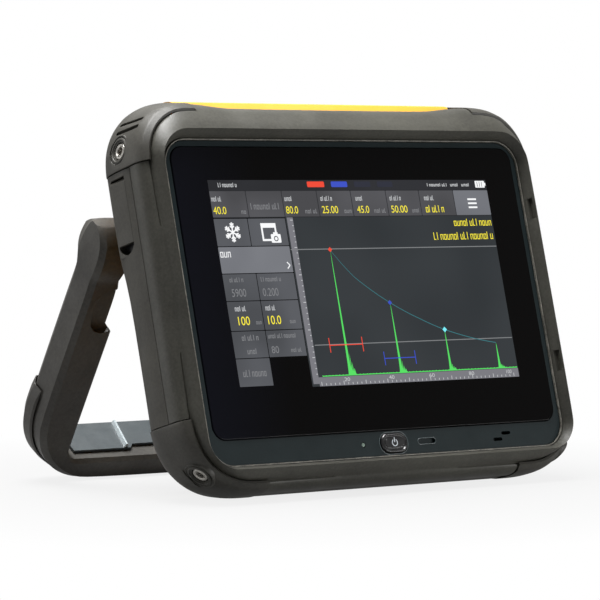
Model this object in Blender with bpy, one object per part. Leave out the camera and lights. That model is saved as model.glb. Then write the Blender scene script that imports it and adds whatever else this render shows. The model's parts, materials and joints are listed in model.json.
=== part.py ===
"""Portable ultrasonic flaw detector: a touch screen in a rubber-guarded body with a swinging tilt handle."""

import math
from collections import namedtuple

import bmesh
import bpy
from mathutils import Matrix, Vector

# The body is drawn in its own frame: x to the right, y back from the glass, z up its height,
# with the origin at the middle of the picture. All sizes are in metres.

# Fits
gap = 0.0003
groove = 0.0005
bore_clearance = 0.0003

# Body envelope
body_half_width = 0.1075
body_bottom = -0.0875
body_top = 0.0858
corner_radius = 0.030
body_lean = math.radians(15.0)
arc_steps = 7

# Bezel: the raised ridge round the panel and its inner slope
ridge_side_inset = 0.0068
ridge_bottom_inset = 0.0085
ridge_top_inset = 0.0193
ridge_half_width = body_half_width - ridge_side_inset
ridge_bottom = body_bottom + ridge_bottom_inset
ridge_top = body_top - ridge_top_inset
ridge_radius = 0.0145
ridge_height = 0.0046
slope_foot_y = 0.0006
opening_side_inset = 0.0105
opening_bottom_inset = 0.0110
opening_top_inset = 0.0232
opening_half_width = body_half_width - opening_side_inset
opening_bottom = body_bottom + opening_bottom_inset
opening_top = body_top - opening_top_inset
opening_radius = 0.0112
split_y = 0.0123
crown_back_y = 0.0105
crown_front_y = 0.0062
shoulder_y = 0.0026
top_dip = 0.0020
roof_line = (
    (0.0002, 0.0060), (0.0026, 0.0059), (0.0062, 0.0056), (0.0125, 0.0039),
    (0.0200, 0.0016), (0.0250, 0.0004), (0.0290, 0.0),
)
top_dip_run = 0.024
notch_half_height = 0.0047
notch_depth = 0.0010
notch_heights = (0.031, -0.039)

# Corner guards
guard_depth = 0.0042
guard_proud = 0.0004
guard_run_top = 0.0010
guard_run_bottom = 0.0090
guard_run_side = 0.0020
top_insert_y = 0.0192
top_insert_turn = math.radians(14.0)
bottom_insert_y = 0.0085
bottom_insert_turn = math.radians(45.0)
insert_radius = 0.0036
insert_thread_radius = 0.0020
insert_length = 0.0028
insert_tilt_room = 0.0006
top_boss_half_length = 0.0066
bottom_boss_half_length = 0.0098
boss_half_width = 0.0062
boss_recess = 0.0009
strap_slot_turns = (math.radians(31.0), math.radians(40.0))
strap_slot_y = 0.0155
strap_slot_half_length = 0.0080
strap_slot_width = 0.0020
strap_slot_depth = 0.0019

# Rear of the body
rear_edge_y = 0.0345
flange_back_y = 0.0395
lower_step = 0.0035
step_top_z = 0.018
step_foot_z = 0.006
rest_flat_start_y = 0.0200
rest_flat_end_y = 0.0300
rest_flat_inset = 0.0009
housing_wall = 0.0049
back_wall = 0.0031
hump_side_inset = 0.0235
hump_bottom_inset = 0.0215
hump_top_inset = 0.0138
hump_half_width = body_half_width - hump_side_inset
hump_bottom = body_bottom + hump_bottom_inset
hump_top = body_top - hump_top_inset
hump_radius = 0.0140
hump_back_y = 0.0620
hump_edge = 0.0052
hump_edge_run = 0.0050
seam_tail = 0.0065
hump_wall = 0.0034
hump_back_wall = 0.0026

# Battery bay
bay_side_inset = 0.0200
bay_bottom_inset = 0.0180
bay_top_inset = 0.0380
bay_half_width = hump_half_width - bay_side_inset
bay_bottom = hump_bottom + bay_bottom_inset
bay_top = hump_top - bay_top_inset
bay_radius = 0.0040
cover_thickness = 0.0021
tray_floor_y = 0.0380
tray_wall = 0.0057
tray_floor = 0.0020
tray_flange = 0.0052
tray_flange_thickness = 0.0016
grip_rib_count = 5
grip_rib_pitch = 0.0050

# Front panel, glass and display
panel_front_y = 0.0005
panel_back_y = 0.0040
glass_side_inset = 0.0030
glass_bottom_inset = 0.0109
glass_top_inset = 0.0029
glass_half_width = opening_half_width - glass_side_inset
glass_bottom = opening_bottom + glass_bottom_inset
glass_top = opening_top - glass_top_inset
glass_radius = 0.0060
glass_thickness = 0.0018
display_side_inset = 0.0155
display_half_width = glass_half_width - display_side_inset
display_half_height = 0.0468
display_rim = 0.0044
display_frame_half_width = display_half_width + display_rim
display_frame_half_height = display_half_height + display_rim
display_back_y = 0.0103
chassis_thickness = 0.0020

# Controls in the strip below the glass
strip_inset = 0.0054
strip_z = opening_bottom + strip_inset
button_half_length = 0.0073
button_half_height = 0.0043
button_front_y = -0.0004
button_travel = 0.0008
button_flange = 0.0018
light_x = -0.0165
light_radius = 0.0009
slot_x = 0.0184
slot_half_length = 0.0048
slot_half_height = 0.0011
slot_depth = 0.0012
sound_slot_x = (0.0588, 0.0640)
sound_slot_rise = 0.0013
speaker_radius = 0.0042

# Port bay on the left side
bay_front_y = 0.0165
bay_back_y = 0.0282
door_top_z = 0.0511
door_bottom_z = 0.0232
finger_slot_bottom_z = 0.0180
bay_margin = 0.0008
door_hinge_inset = 0.0023
door_hinge_x = body_half_width - door_hinge_inset
door_hinge_z = 0.0490
door_hinge_radius = 0.0007
door_knuckle_radius = 0.0021
door_thickness = 0.0030
door_inset = 0.0002
port_face_inset = 0.0045
port_depth = 0.0058
port_face_x = body_half_width - port_face_inset
port_back_x = port_face_x - port_depth

# Probe sockets on the right side
socket_heights = (0.030, 0.004)
socket_y = 0.0228
socket_flange_radius = 0.0062
socket_body_radius = 0.0048
socket_bore_radius = 0.0036
socket_bore_depth = 0.0062
socket_front_inset = 0.0009
socket_length = 0.0131
socket_front_x = body_half_width - socket_front_inset
socket_back_x = socket_front_x - socket_length
socket_bay_half_height = 0.0205
socket_bay_z = 0.017
socket_bay_rounding = 0.0010
cut_margin = 0.0030

# Boards
board_thickness = 0.0016
main_board_side_room = 0.0120
main_board_bottom_room = 0.0145
main_board_top_room = 0.0106
main_board_half_width = opening_half_width - main_board_side_room
main_board_bottom = opening_bottom + main_board_bottom_room
main_board_top = opening_top - main_board_top_room
main_board_gap = 0.0030
pulser_board_side_inset = 0.0230
pulser_board_bottom_inset = 0.0120
pulser_board_top_inset = 0.0220
pulser_board_half_width = main_board_half_width - pulser_board_side_inset
pulser_board_bottom = main_board_bottom + pulser_board_bottom_inset
pulser_board_top = main_board_top - pulser_board_top_inset
pulser_board_gap = 0.0060
standoff_radius = 0.0025
can_height = 0.0050
can_side_inset = 0.0320
can_bottom_inset = 0.0140
can_top_inset = 0.0160

# Tilt handle, drawn hanging straight down from its pivot
pivot_y = 0.0525
pivot_z = 0.0300
handle_lean = math.radians(31.5)
arm_room = 0.0060
arm_waist_room = 0.0045
arm_low_room = 0.0013
arm_inner_x = hump_half_width + arm_room
arm_waist_x = hump_half_width + arm_waist_room
arm_low_x = hump_half_width + arm_low_room
arm_width = 0.0146
arm_outer_x = arm_inner_x + arm_width
arm_half_depth = 0.0100
bar_width = 0.0130
bar_front = 0.0110
bar_back = 0.0163
outer_bend_radius = 0.0362
inner_bend_radius = 0.0050
bend_steps = 7
boss_half_depth = 0.0124
boss_rise = 0.0118
boss_proud = 0.0018
foot_flat = 0.0060
pin_radius = 0.0040
pin_reach = 0.0110
pin_end_x = arm_inner_x + pin_reach
pin_head_radius = 0.0064
pin_head_length = 0.0024
washer_radius = 0.0084
pivot_pad_radius = 0.0090
pivot_pad_height = 0.0043
pivot_pad_face = hump_half_width + pivot_pad_height
insert_plate_thickness = 0.0012
insert_end_margin = 0.0010
insert_front = -0.0052
insert_back = 0.0145
insert_middle_front = -0.0024
insert_rib_x = 0.0468
insert_rib_slant = 0.0039
insert_rib_width = 0.0024
insert_rib_height = 0.0016
pad_thickness = 0.0014
pad_rise = 0.0090
pad_seat = 0.0006
pad_turn_steps = 6
plain_edge = 0.0022
pad_turn = math.radians(62.0)
relief_depth = 0.0030
relief_width = 0.0152
relief_top = -0.0160
relief_bottom = -0.0385
waist_step = 0.0035
handle_chamfer = 0.0040
handle_rounding = 0.0016

# Screws
screw_head_radius = 0.0028
screw_head_height = 0.0018
screw_shank_radius = 0.0015
housing_screw_length = 0.0120
cover_screw_length = 0.0085
screw_side_inset = 0.0145
screw_top_inset = 0.0248
screw_bottom_inset = 0.0215
screw_low_inset = 0.0150
screw_side_x = body_half_width - screw_side_inset
screw_top_z = body_top - screw_top_inset
screw_bottom_z = body_bottom + screw_bottom_inset
screw_low_z = body_bottom + screw_low_inset
screw_low_x = 0.0400
housing_screw_places = (
    (-screw_side_x, screw_top_z), (screw_side_x, screw_top_z), (-screw_side_x, screw_bottom_z),
    (screw_side_x, screw_bottom_z), (-screw_low_x, screw_low_z), (screw_low_x, screw_low_z),
)

for leftover in list(bpy.data.objects):
    bpy.data.objects.remove(leftover, do_unlink=True)

# Rect is one ring of a body: a rounded rectangle at one depth
Rect = namedtuple("Rect", "y half_width bottom top bottom_radius top_radius")
# Station is one place on the walk round a ring: a share of a corner, or a coordinate on a straight edge
Station = namedtuple("Station", "edge value zone")


# Materials

def material(name, colour, roughness, metallic=0.0):
    """Makes a plain Principled material."""
    made = bpy.data.materials.new(name)
    made.use_nodes = True
    shader = made.node_tree.nodes["Principled BSDF"]
    shader.inputs["Base Color"].default_value = (*colour, 1.0)
    shader.inputs["Roughness"].default_value = roughness
    shader.inputs["Metallic"].default_value = metallic
    return made


bezel_rubber = material("bezel_rubber", (0.045, 0.044, 0.040), 0.62)
guard_rubber = material("guard_rubber", (0.032, 0.031, 0.029), 0.60)
band_rubber = material("band_rubber", (0.036, 0.035, 0.032), 0.66)
yellow_plastic = material("yellow_plastic", (0.80, 0.56, 0.05), 0.45)
panel_plastic = material("panel_plastic", (0.014, 0.021, 0.023), 0.42)
black_plastic = material("black_plastic", (0.012, 0.012, 0.013), 0.50)
button_plastic = material("button_plastic", (0.008, 0.008, 0.009), 0.35)
cover_glass = material("cover_glass", (0.004, 0.004, 0.005), 0.06)
display_metal = material("display_metal", (0.45, 0.46, 0.48), 0.40, 0.9)
cast_metal = material("cast_metal", (0.30, 0.31, 0.32), 0.55, 0.8)
steel = material("steel", (0.60, 0.59, 0.57), 0.30, 1.0)
nickel = material("nickel", (0.62, 0.60, 0.56), 0.25, 1.0)
board_green = material("board_green", (0.015, 0.090, 0.045), 0.50)
battery_shell = material("battery_shell", (0.060, 0.062, 0.066), 0.55)
handle_rubber = material("handle_rubber", (0.034, 0.033, 0.031), 0.66)
insert_grey = material("insert_grey", (0.16, 0.18, 0.19), 0.38, 0.3)
acetal = material("acetal", (0.70, 0.70, 0.68), 0.45)
light_plastic = material("light_plastic", (0.30, 0.42, 0.34), 0.25)


# Frames

def empty(name, parent=None):
    """Adds an empty that carries other pieces."""
    made = bpy.data.objects.new(name, None)
    bpy.context.collection.objects.link(made)
    made.parent = parent
    return made


ground_frame = empty("ground_frame")
body_frame = empty("body_frame", ground_frame)
body_frame.rotation_euler.x = -body_lean
handle_frame = empty("handle_frame", body_frame)
handle_frame.location = (0.0, pivot_y, pivot_z)
handle_frame.rotation_euler.x = body_lean + handle_lean
door_frame = empty("door_frame", body_frame)
door_frame.location = (-door_hinge_x, 0.0, door_hinge_z)


# Mesh helpers

def add_mesh(name, mesh_builder, look, parent=body_frame, cutter=False):
    """Turns a finished bmesh into an object that hangs on a frame."""
    bmesh.ops.remove_doubles(mesh_builder, verts=mesh_builder.verts, dist=1e-7)
    bmesh.ops.recalc_face_normals(mesh_builder, faces=mesh_builder.faces)
    mesh = bpy.data.meshes.new(name)
    mesh_builder.to_mesh(mesh)
    mesh_builder.free()
    mesh.shade_smooth()
    mesh.set_sharp_from_angle(angle=math.radians(35.0))
    made = bpy.data.objects.new(name, mesh)
    bpy.context.collection.objects.link(made)
    made.parent = parent
    if cutter:
        made.hide_render = True
        made.display_type = "WIRE"
    else:
        mesh.materials.append(look)
    return made


def bridge_rows(builder, rows, closed):
    """Joins each row of vertices to the next with four-sided faces; every row is a closed ring."""
    last = len(rows) if closed else len(rows) - 1
    for index in range(last):
        first_row = rows[index]
        second_row = rows[(index + 1) % len(rows)]
        count = len(first_row)
        for place in range(count):
            following = (place + 1) % count
            corners = [first_row[place], first_row[following], second_row[following], second_row[place]]
            builder.faces.new(corners)


def solid_from_rows(name, point_rows, look, closed=False, parent=body_frame, cutter=False):
    """Lofts rings of points into one closed solid, with flat caps unless the loft itself closes."""
    builder = bmesh.new()
    rows = [[builder.verts.new(point) for point in row] for row in point_rows]
    bridge_rows(builder, rows, closed)
    if not closed:
        builder.faces.new(rows[0])
        builder.faces.new(list(reversed(rows[-1])))
    return add_mesh(name, builder, look, parent, cutter)


def box(name, low, high, look, bevel=0.0, parent=body_frame, cutter=False):
    """Makes a box between two corners, with rounded edges if a bevel is given."""
    builder = bmesh.new()
    centre = (Vector(low) + Vector(high)) / 2.0
    size = Vector(high) - Vector(low)
    place = Matrix.Translation(centre) @ Matrix.Diagonal((*size, 1.0))
    bmesh.ops.create_cube(builder, size=1.0, matrix=place)
    if bevel > 0.0:
        bmesh.ops.bevel(builder, geom=builder.edges[:], offset=bevel, segments=2, profile=0.5, affect="EDGES")
    return add_mesh(name, builder, look, parent, cutter)


def turned_rows(profile, centre, axis, segments):
    """Rings of points turned round an axis; the profile lists (distance along it, radius)."""
    axis = Vector(axis).normalized()
    side = axis.orthogonal().normalized()
    other = axis.cross(side)
    rows = []
    for along, radius in profile:
        ring = []
        for step in range(segments):
            angle = 2.0 * math.pi * (step + 0.5) / segments
            spoke = side * math.cos(angle) + other * math.sin(angle)
            ring.append(Vector(centre) + axis * along + spoke * radius)
        rows.append(ring)
    return rows


def turned(name, profile, centre, axis, look, segments=20, closed=False, parent=body_frame, cutter=False):
    """Makes a turned solid; a closed profile makes a ring."""
    rows = turned_rows(profile, centre, axis, segments)
    return solid_from_rows(name, rows, look, closed, parent, cutter)


def turned_set(name, profile, centres, axis, look, segments=12, parent=body_frame):
    """Makes several like turned solids, numbered from 1."""
    for index, centre in enumerate(centres):
        turned("%s_%d" % (name, index + 1), profile, centre, axis, look, segments, parent=parent)


def join(target, addition):
    """Makes the addition's shape part of the target."""
    modifier = target.modifiers.new(addition.name, "BOOLEAN")
    modifier.operation = "UNION"
    modifier.solver = "EXACT"
    modifier.object = addition


def cut(target, cutter):
    """Takes the cutter's shape out of the target."""
    modifier = target.modifiers.new(cutter.name, "BOOLEAN")
    modifier.operation = "DIFFERENCE"
    modifier.solver = "EXACT"
    modifier.object = cutter


def stadium(half_length, half_height, steps=6):
    """Outline of a slot with round ends, as (across, up) pairs."""
    points = []
    straight = half_length - half_height
    for end, start in ((1.0, -90.0), (-1.0, 90.0)):
        for step in range(steps + 1):
            angle = math.radians(start + 180.0 * step / steps)
            points.append((end * straight + half_height * math.cos(angle), half_height * math.sin(angle)))
    return points


def plate_from_outline(name, outline, low_y, high_y, look, parent=body_frame, cutter=False):
    """Extrudes an outline of (x, z) pairs from one depth to another."""
    rows = [[Vector((x, y, z)) for x, z in outline] for y in (low_y, high_y)]
    return solid_from_rows(name, rows, look, parent=parent, cutter=cutter)


# Rings of the body

top_straight = body_half_width - corner_radius
side_high = body_top - corner_radius
side_low = body_bottom + corner_radius
guard_top_x = top_straight - guard_run_top
guard_bottom_x = top_straight - guard_run_bottom
guard_high_z = side_high - guard_run_side
guard_low_z = side_low + guard_run_side


def smooth_step(value):
    """Eases from 0 to 1 as the value goes from 0 to 1."""
    share = min(max(value, 0.0), 1.0)
    return share * share * (3.0 - 2.0 * share)


def roof_drop(y):
    """How much lower the top of the body is at a depth: it slopes down to the front."""
    low_y, drop = roof_line[0]
    for high_y, next_drop in roof_line[1:]:
        if y <= high_y:
            return drop + (next_drop - drop) * max(y - low_y, 0.0) / (high_y - low_y)
        low_y, drop = high_y, next_drop
    return drop


def inset_rect(y, side, bottom):
    """A ring that lies inside the body envelope by the given distances at the sides and the bottom."""
    high = body_top - side - roof_drop(y)
    top_radius = min(corner_radius - side - roof_drop(y) / 2.0, high - guard_high_z - 2.0 * groove)
    bottom_radius = corner_radius - (side + bottom) / 2.0
    return Rect(y, body_half_width - side, body_bottom + bottom, high, bottom_radius, top_radius)


def corner_reach(y, side, upper, turn):
    """How far a ring lies from the middle of the corner's arc, in a direction above or below the side."""
    rect = inset_rect(y, side, side)
    radius = rect.top_radius if upper else rect.bottom_radius
    height = rect.top - radius - side_high if upper else side_low - rect.bottom - radius
    shift = Vector((rect.half_width - radius - top_straight, height))
    forward = shift.dot(Vector((math.cos(turn), math.sin(turn))))
    return forward + math.sqrt(radius * radius - shift.length_squared + forward * forward)


def plain_rect(y, half_width, bottom, top, radius):
    """A ring with its own size."""
    return Rect(y, half_width, bottom, top, radius, radius)


def shrink(rect, amount, y):
    """The same ring drawn in all round, at another depth."""
    return Rect(
        y, rect.half_width - amount, rect.bottom + amount, rect.top - amount,
        max(rect.bottom_radius - amount, 0.001), max(rect.top_radius - amount, 0.001),
    )


def held(value, low, high):
    """Keeps a value within its limits."""
    return min(max(value, low), high)


def ring_point(rect, station):
    """The point of a ring at a station of the walk, as (x, z)."""
    edge, value, _ = station
    top_run = rect.half_width - rect.top_radius
    bottom_run = rect.half_width - rect.bottom_radius
    side_top = rect.top - rect.top_radius
    side_bottom = rect.bottom + rect.bottom_radius
    if edge == "top":
        return (held(value, -top_run, top_run), rect.top)
    if edge == "bottom":
        return (held(value, -bottom_run, bottom_run), rect.bottom)
    if edge == "left":
        return (-rect.half_width, held(value, side_bottom, side_top))
    if edge == "right":
        return (rect.half_width, held(value, side_bottom, side_top))
    sweep = math.radians(90.0 * value)
    if edge == "corner_top_left":
        return (-top_run - rect.top_radius * math.sin(sweep), side_top + rect.top_radius * math.cos(sweep))
    across, up = math.cos(sweep), math.sin(sweep)
    if edge == "corner_bottom_left":
        return (-bottom_run - rect.bottom_radius * across, side_bottom - rect.bottom_radius * up)
    if edge == "corner_bottom_right":
        return (bottom_run + rect.bottom_radius * up, side_bottom - rect.bottom_radius * across)
    return (top_run + rect.top_radius * across, side_top + rect.top_radius * up)


def step_depth(y, z):
    """Moves the rear edges forward on the lower half of the body."""
    if y <= rest_flat_start_y or y >= pivot_y:
        return y
    if y < rest_flat_end_y:
        share = (y - rest_flat_start_y) / (rest_flat_end_y - rest_flat_start_y)
    elif y <= flange_back_y:
        share = 1.0
    else:
        share = (pivot_y - y) / (pivot_y - flange_back_y)
    lower = smooth_step((step_top_z - z) / (step_top_z - step_foot_z))
    return y - lower_step * share * lower


def corner_walk(name):
    """Stations round one corner."""
    return [Station(name, step / arc_steps, "guard") for step in range(arc_steps + 1)]


def full_walk():
    """Stations all round the body from the middle of the top edge, with a double one at each guard's end."""
    dip_end = guard_top_x - top_dip_run
    half_top = [0.0, dip_end / 2.0] + [dip_end + top_dip_run * share for share in (0.0, 0.25, 0.5, 0.75, 1.0)]
    heights = [guard_high_z, step_top_z, (step_top_z + step_foot_z) / 2.0, step_foot_z, guard_low_z]
    walk = [Station("top", -x, "top") for x in half_top]
    walk.append(Station("top", -guard_top_x, "guard"))
    walk += corner_walk("corner_top_left")
    walk.append(Station("left", guard_high_z, "guard"))
    walk += [Station("left", z, "left") for z in heights]
    walk.append(Station("left", guard_low_z, "guard"))
    walk += corner_walk("corner_bottom_left")
    walk.append(Station("bottom", -guard_bottom_x, "guard"))
    walk += [Station("bottom", x, "bottom") for x in (-guard_bottom_x, 0.0, guard_bottom_x)]
    walk.append(Station("bottom", guard_bottom_x, "guard"))
    walk += corner_walk("corner_bottom_right")
    walk.append(Station("right", guard_low_z, "guard"))
    walk += [Station("right", z, "right") for z in reversed(heights)]
    walk.append(Station("right", guard_high_z, "guard"))
    walk += corner_walk("corner_top_right")
    walk.append(Station("top", guard_top_x, "guard"))
    walk += [Station("top", x, "top") for x in reversed(half_top[1:])]
    return walk


body_walk = full_walk()


def small_walk(steps=4):
    """A short walk for small rounded plates."""
    walk = []
    for name in ("corner_top_left", "corner_bottom_left", "corner_bottom_right", "corner_top_right"):
        walk += [Station(name, step / steps, "plain") for step in range(steps + 1)]
    return walk


def column(rects, station, dips=None):
    """The section of a body at one station: one point on each of its rings."""
    points = []
    for index, rect in enumerate(rects):
        x, z = ring_point(rect, station)
        if dips and station.zone == "top":
            z -= dips[index] * top_dip * smooth_step((guard_top_x - abs(x)) / top_dip_run)
        points.append(Vector((x, step_depth(rect.y, z), z)))
    return points


def same_column(first, second):
    """Tells whether two sections lie on each other."""
    return all((one - two).length < 1e-7 for one, two in zip(first, second))


def columns_to_rows(columns):
    """Drops sections that repeat the one before."""
    kept = []
    for points in columns:
        if not kept or not same_column(kept[-1], points):
            kept.append(points)
    return kept


def plain_rows(rects, walk):
    """The points of plain rings along a walk."""
    stations = walk or small_walk()
    return [[Vector((x, rect.y, z)) for x, z in (ring_point(rect, station) for station in stations)]
            for rect in rects]


def ring_plate(name, rects, look, walk=None, parent=body_frame, cutter=False):
    """Lofts plain rings one behind the other, with the first and the last closed by a flat face."""
    return solid_from_rows(name, plain_rows(rects, walk), look, parent=parent, cutter=cutter)


def ring_frame(name, rects, look, walk=None):
    """Lofts plain rings into a frame that is open in the middle."""
    return solid_from_rows(name, plain_rows(rects, walk), look, closed=True)


# Front bumper

ridge = plain_rect(-ridge_height, ridge_half_width, ridge_bottom, ridge_top, ridge_radius)
opening = plain_rect(slope_foot_y, opening_half_width, opening_bottom, opening_top, opening_radius)
seat_inset = guard_depth + gap
brow_y = 0.0002


def between(first, second, share, y):
    """A ring part of the way from one ring to another."""
    values = [one + (two - one) * share for one, two in zip(first[1:], second[1:])]
    return Rect(y, *values)


def covered(rect, depth):
    """The ring where a guard or a band lies over it: it is let in by that depth."""
    seat = inset_rect(rect.y, depth, depth)
    drawn_in = [min(one, two) if two > 0.0 else max(one, two) for one, two in zip(rect[1:], seat[1:])]
    return Rect(rect.y, *drawn_in)


def make_front_bumper():
    """The rubber bezel: rounded outside, a ridge, a slope down to the panel, and recesses for the guards."""
    brow = inset_rect(brow_y, seat_inset, seat_inset)
    rings = [
        inset_rect(split_y, seat_inset, seat_inset),
        inset_rect(split_y, 0.0006, 0.0006),
        inset_rect(crown_back_y, 0.0, 0.0),
        inset_rect(crown_front_y, 0.0, 0.0),
        inset_rect(shoulder_y, 0.0013, 0.0013),
        brow,
        between(brow, ridge, 0.55, -0.0029),
        ridge,
        opening,
        plain_rect(split_y, opening_half_width, opening_bottom, opening_top, opening_radius),
    ]
    dips = [0.0, 1.0, 1.0, 1.0, 1.0, 1.0, 0.55, 0.0, 0.0, 0.0]
    columns = []
    for station in body_walk:
        if station.zone == "guard":
            columns.append(column([covered(ring, seat_inset) for ring in rings], station))
        else:
            columns.append(column(rings, station, dips))
    bumper = solid_from_rows("front_bumper", columns_to_rows(columns), bezel_rubber, closed=True)
    for side in (-1.0, 1.0):
        for height in notch_heights:
            middle_x = side * (ridge_half_width + opening_half_width) / 2.0
            name = "cut_notch_%s_%d" % ("l" if side < 0.0 else "r", round(height * 1000.0))
            half = 0.0016
            low = (middle_x - half, -ridge_height, height - notch_half_height)
            high = (middle_x + half, -ridge_height / 2.0 + notch_depth, height + notch_half_height)
            cut(bumper, box(name, low, high, None, cutter=True))
    return bumper


# Corner guards, side bands and bottom band

rest_flat_drop = (rest_flat_end_y - lower_step - rest_flat_start_y) * math.tan(body_lean)
rest_flat_end_inset = rest_flat_inset + rest_flat_drop


def outer_rings(proud):
    """The outer rings behind the bezel, from its split line to the rear edge."""
    mid_y = (rest_flat_start_y + rest_flat_end_y) / 2.0
    return [
        inset_rect(rest_flat_start_y - 0.003, -proud, 0.0002 - proud),
        inset_rect(rest_flat_start_y, -proud, rest_flat_inset - proud),
        inset_rect(mid_y, 0.0003 - proud, rest_flat_inset + rest_flat_drop / 2.0 - proud),
        inset_rect(rest_flat_end_y, 0.0012 - proud, rest_flat_end_inset - proud),
        inset_rect(0.0330, 0.0032 - proud, rest_flat_end_inset + 0.0024 - proud),
        inset_rect(rear_edge_y, 0.0050, rest_flat_end_inset + 0.0042),
    ]


def inner_rings(front_y):
    """The inner rings, which lie on the housing and the bezel."""
    rings = [inset_rect(rear_edge_y, seam_tail, rest_flat_end_inset + 0.0058)]
    depths = [y for y, drop in reversed(roof_line) if y > front_y] + [front_y]
    return rings + [inset_rect(y, guard_depth, guard_depth) for y in depths]


def guard_walk(corner):
    """Stations of one guard, which ends a groove's width short of its recess."""
    top_flat = guard_top_x + groove
    bottom_flat = guard_bottom_x + groove
    high = guard_high_z + groove
    low = guard_low_z - groove
    walks = {
        "top_left": (("top", -top_flat), ("left", high)),
        "bottom_left": (("left", low), ("bottom", -bottom_flat)),
        "bottom_right": (("bottom", bottom_flat), ("right", low)),
        "top_right": (("right", high), ("top", top_flat)),
    }
    first, last = walks[corner]
    return [Station(*first, "guard")] + corner_walk("corner_" + corner) + [Station(*last, "guard")]


def corner_axes(corner, turn):
    """The middle of a corner's arc and the direction out of it at a turn above or below the side."""
    across = -1.0 if "left" in corner else 1.0
    up = 1.0 if "top" in corner else -1.0
    middle = Vector((across * top_straight, 0.0, side_high if up > 0.0 else side_low))
    return middle, Vector((across * math.cos(turn), 0.0, up * math.sin(turn)))


def oriented_prism(name, outline, origin, outward, start, end, look, cutter=False):
    """Extrudes an outline, which runs along the corner and in depth, along the outward direction."""
    along = outward.cross(Vector((0.0, 1.0, 0.0)))
    rows = []
    for distance in (start, end):
        rows.append([origin + outward * distance + along * across + Vector((0.0, depth, 0.0))
                     for across, depth in outline])
    return solid_from_rows(name, rows, look, cutter=cutter)


def make_guard(corner):
    """One rubber corner guard with a boss recess, an insert's hole and, on top, two strap slots."""
    is_top = "top" in corner
    turn = top_insert_turn if is_top else bottom_insert_turn
    insert_y = top_insert_y if is_top else bottom_insert_y
    boss_half_length = top_boss_half_length if is_top else bottom_boss_half_length
    rings = [
        inset_rect(0.0006, 0.0031, 0.0031), inset_rect(0.0026, 0.0009, 0.0009),
        inset_rect(0.0062, -guard_proud, -guard_proud), inset_rect(0.0125, -guard_proud, -guard_proud),
    ]
    rings += outer_rings(guard_proud) + inner_rings(0.0010)
    columns = [column(rings, station) for station in guard_walk(corner)]
    guard = solid_from_rows("corner_guard_" + corner, columns, guard_rubber)
    origin, outward = corner_axes(corner, turn)
    middle = origin + Vector((0.0, insert_y, 0.0))
    face = corner_reach(insert_y, -guard_proud, is_top, turn) - boss_recess
    oval = oriented_prism("cut_boss_" + corner, stadium(boss_half_length, boss_half_width), middle, outward,
                          face, face + guard_depth, None, cutter=True)
    cut(guard, oval)
    hole_radius = insert_radius + gap
    hole_profile = [(face - 2.0 * guard_depth, hole_radius), (face + guard_depth, hole_radius)]
    cut(guard, turned("cut_insert_" + corner, hole_profile, middle, outward, None, cutter=True))
    seat = corner_reach(insert_y, seat_inset, is_top, turn) + gap + insert_tilt_room
    chamfer = 0.0004
    profile = [
        (seat, insert_radius), (seat + insert_length - chamfer, insert_radius),
        (seat + insert_length, insert_radius - chamfer),
        (seat + insert_length, insert_thread_radius + chamfer),
        (seat + insert_length - chamfer, insert_thread_radius), (seat, insert_thread_radius),
    ]
    turned("thread_insert_" + corner, profile, middle, outward, steel, closed=True)
    if is_top:
        cut_strap_slots(guard, corner)
    return guard


def cut_strap_slots(guard, corner):
    """Two slots for a wrist strap, which run from front to back across the top corner."""
    outline = [(across, along) for along, across in stadium(strap_slot_half_length, strap_slot_width / 2.0)]
    for index, turn in enumerate(strap_slot_turns):
        origin, outward = corner_axes(corner, turn)
        floor = corner_reach(strap_slot_y, 0.0, True, turn) - strap_slot_depth
        middle = origin + Vector((0.0, strap_slot_y, 0.0))
        slot = oriented_prism("cut_strap_%s_%d" % (corner, index), outline, middle, outward,
                              floor, floor + 2.0 * guard_depth, None, cutter=True)
        cut(guard, slot)


def make_band(name, zone):
    """One rubber band between two corner guards."""
    rings = [inset_rect(split_y + gap, 0.0006, 0.0006)] + outer_rings(0.0) + inner_rings(split_y + gap)
    columns = [column(rings, station) for station in body_walk if station.zone == zone]
    return solid_from_rows(name, columns, band_rubber)


# Rear housing

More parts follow.
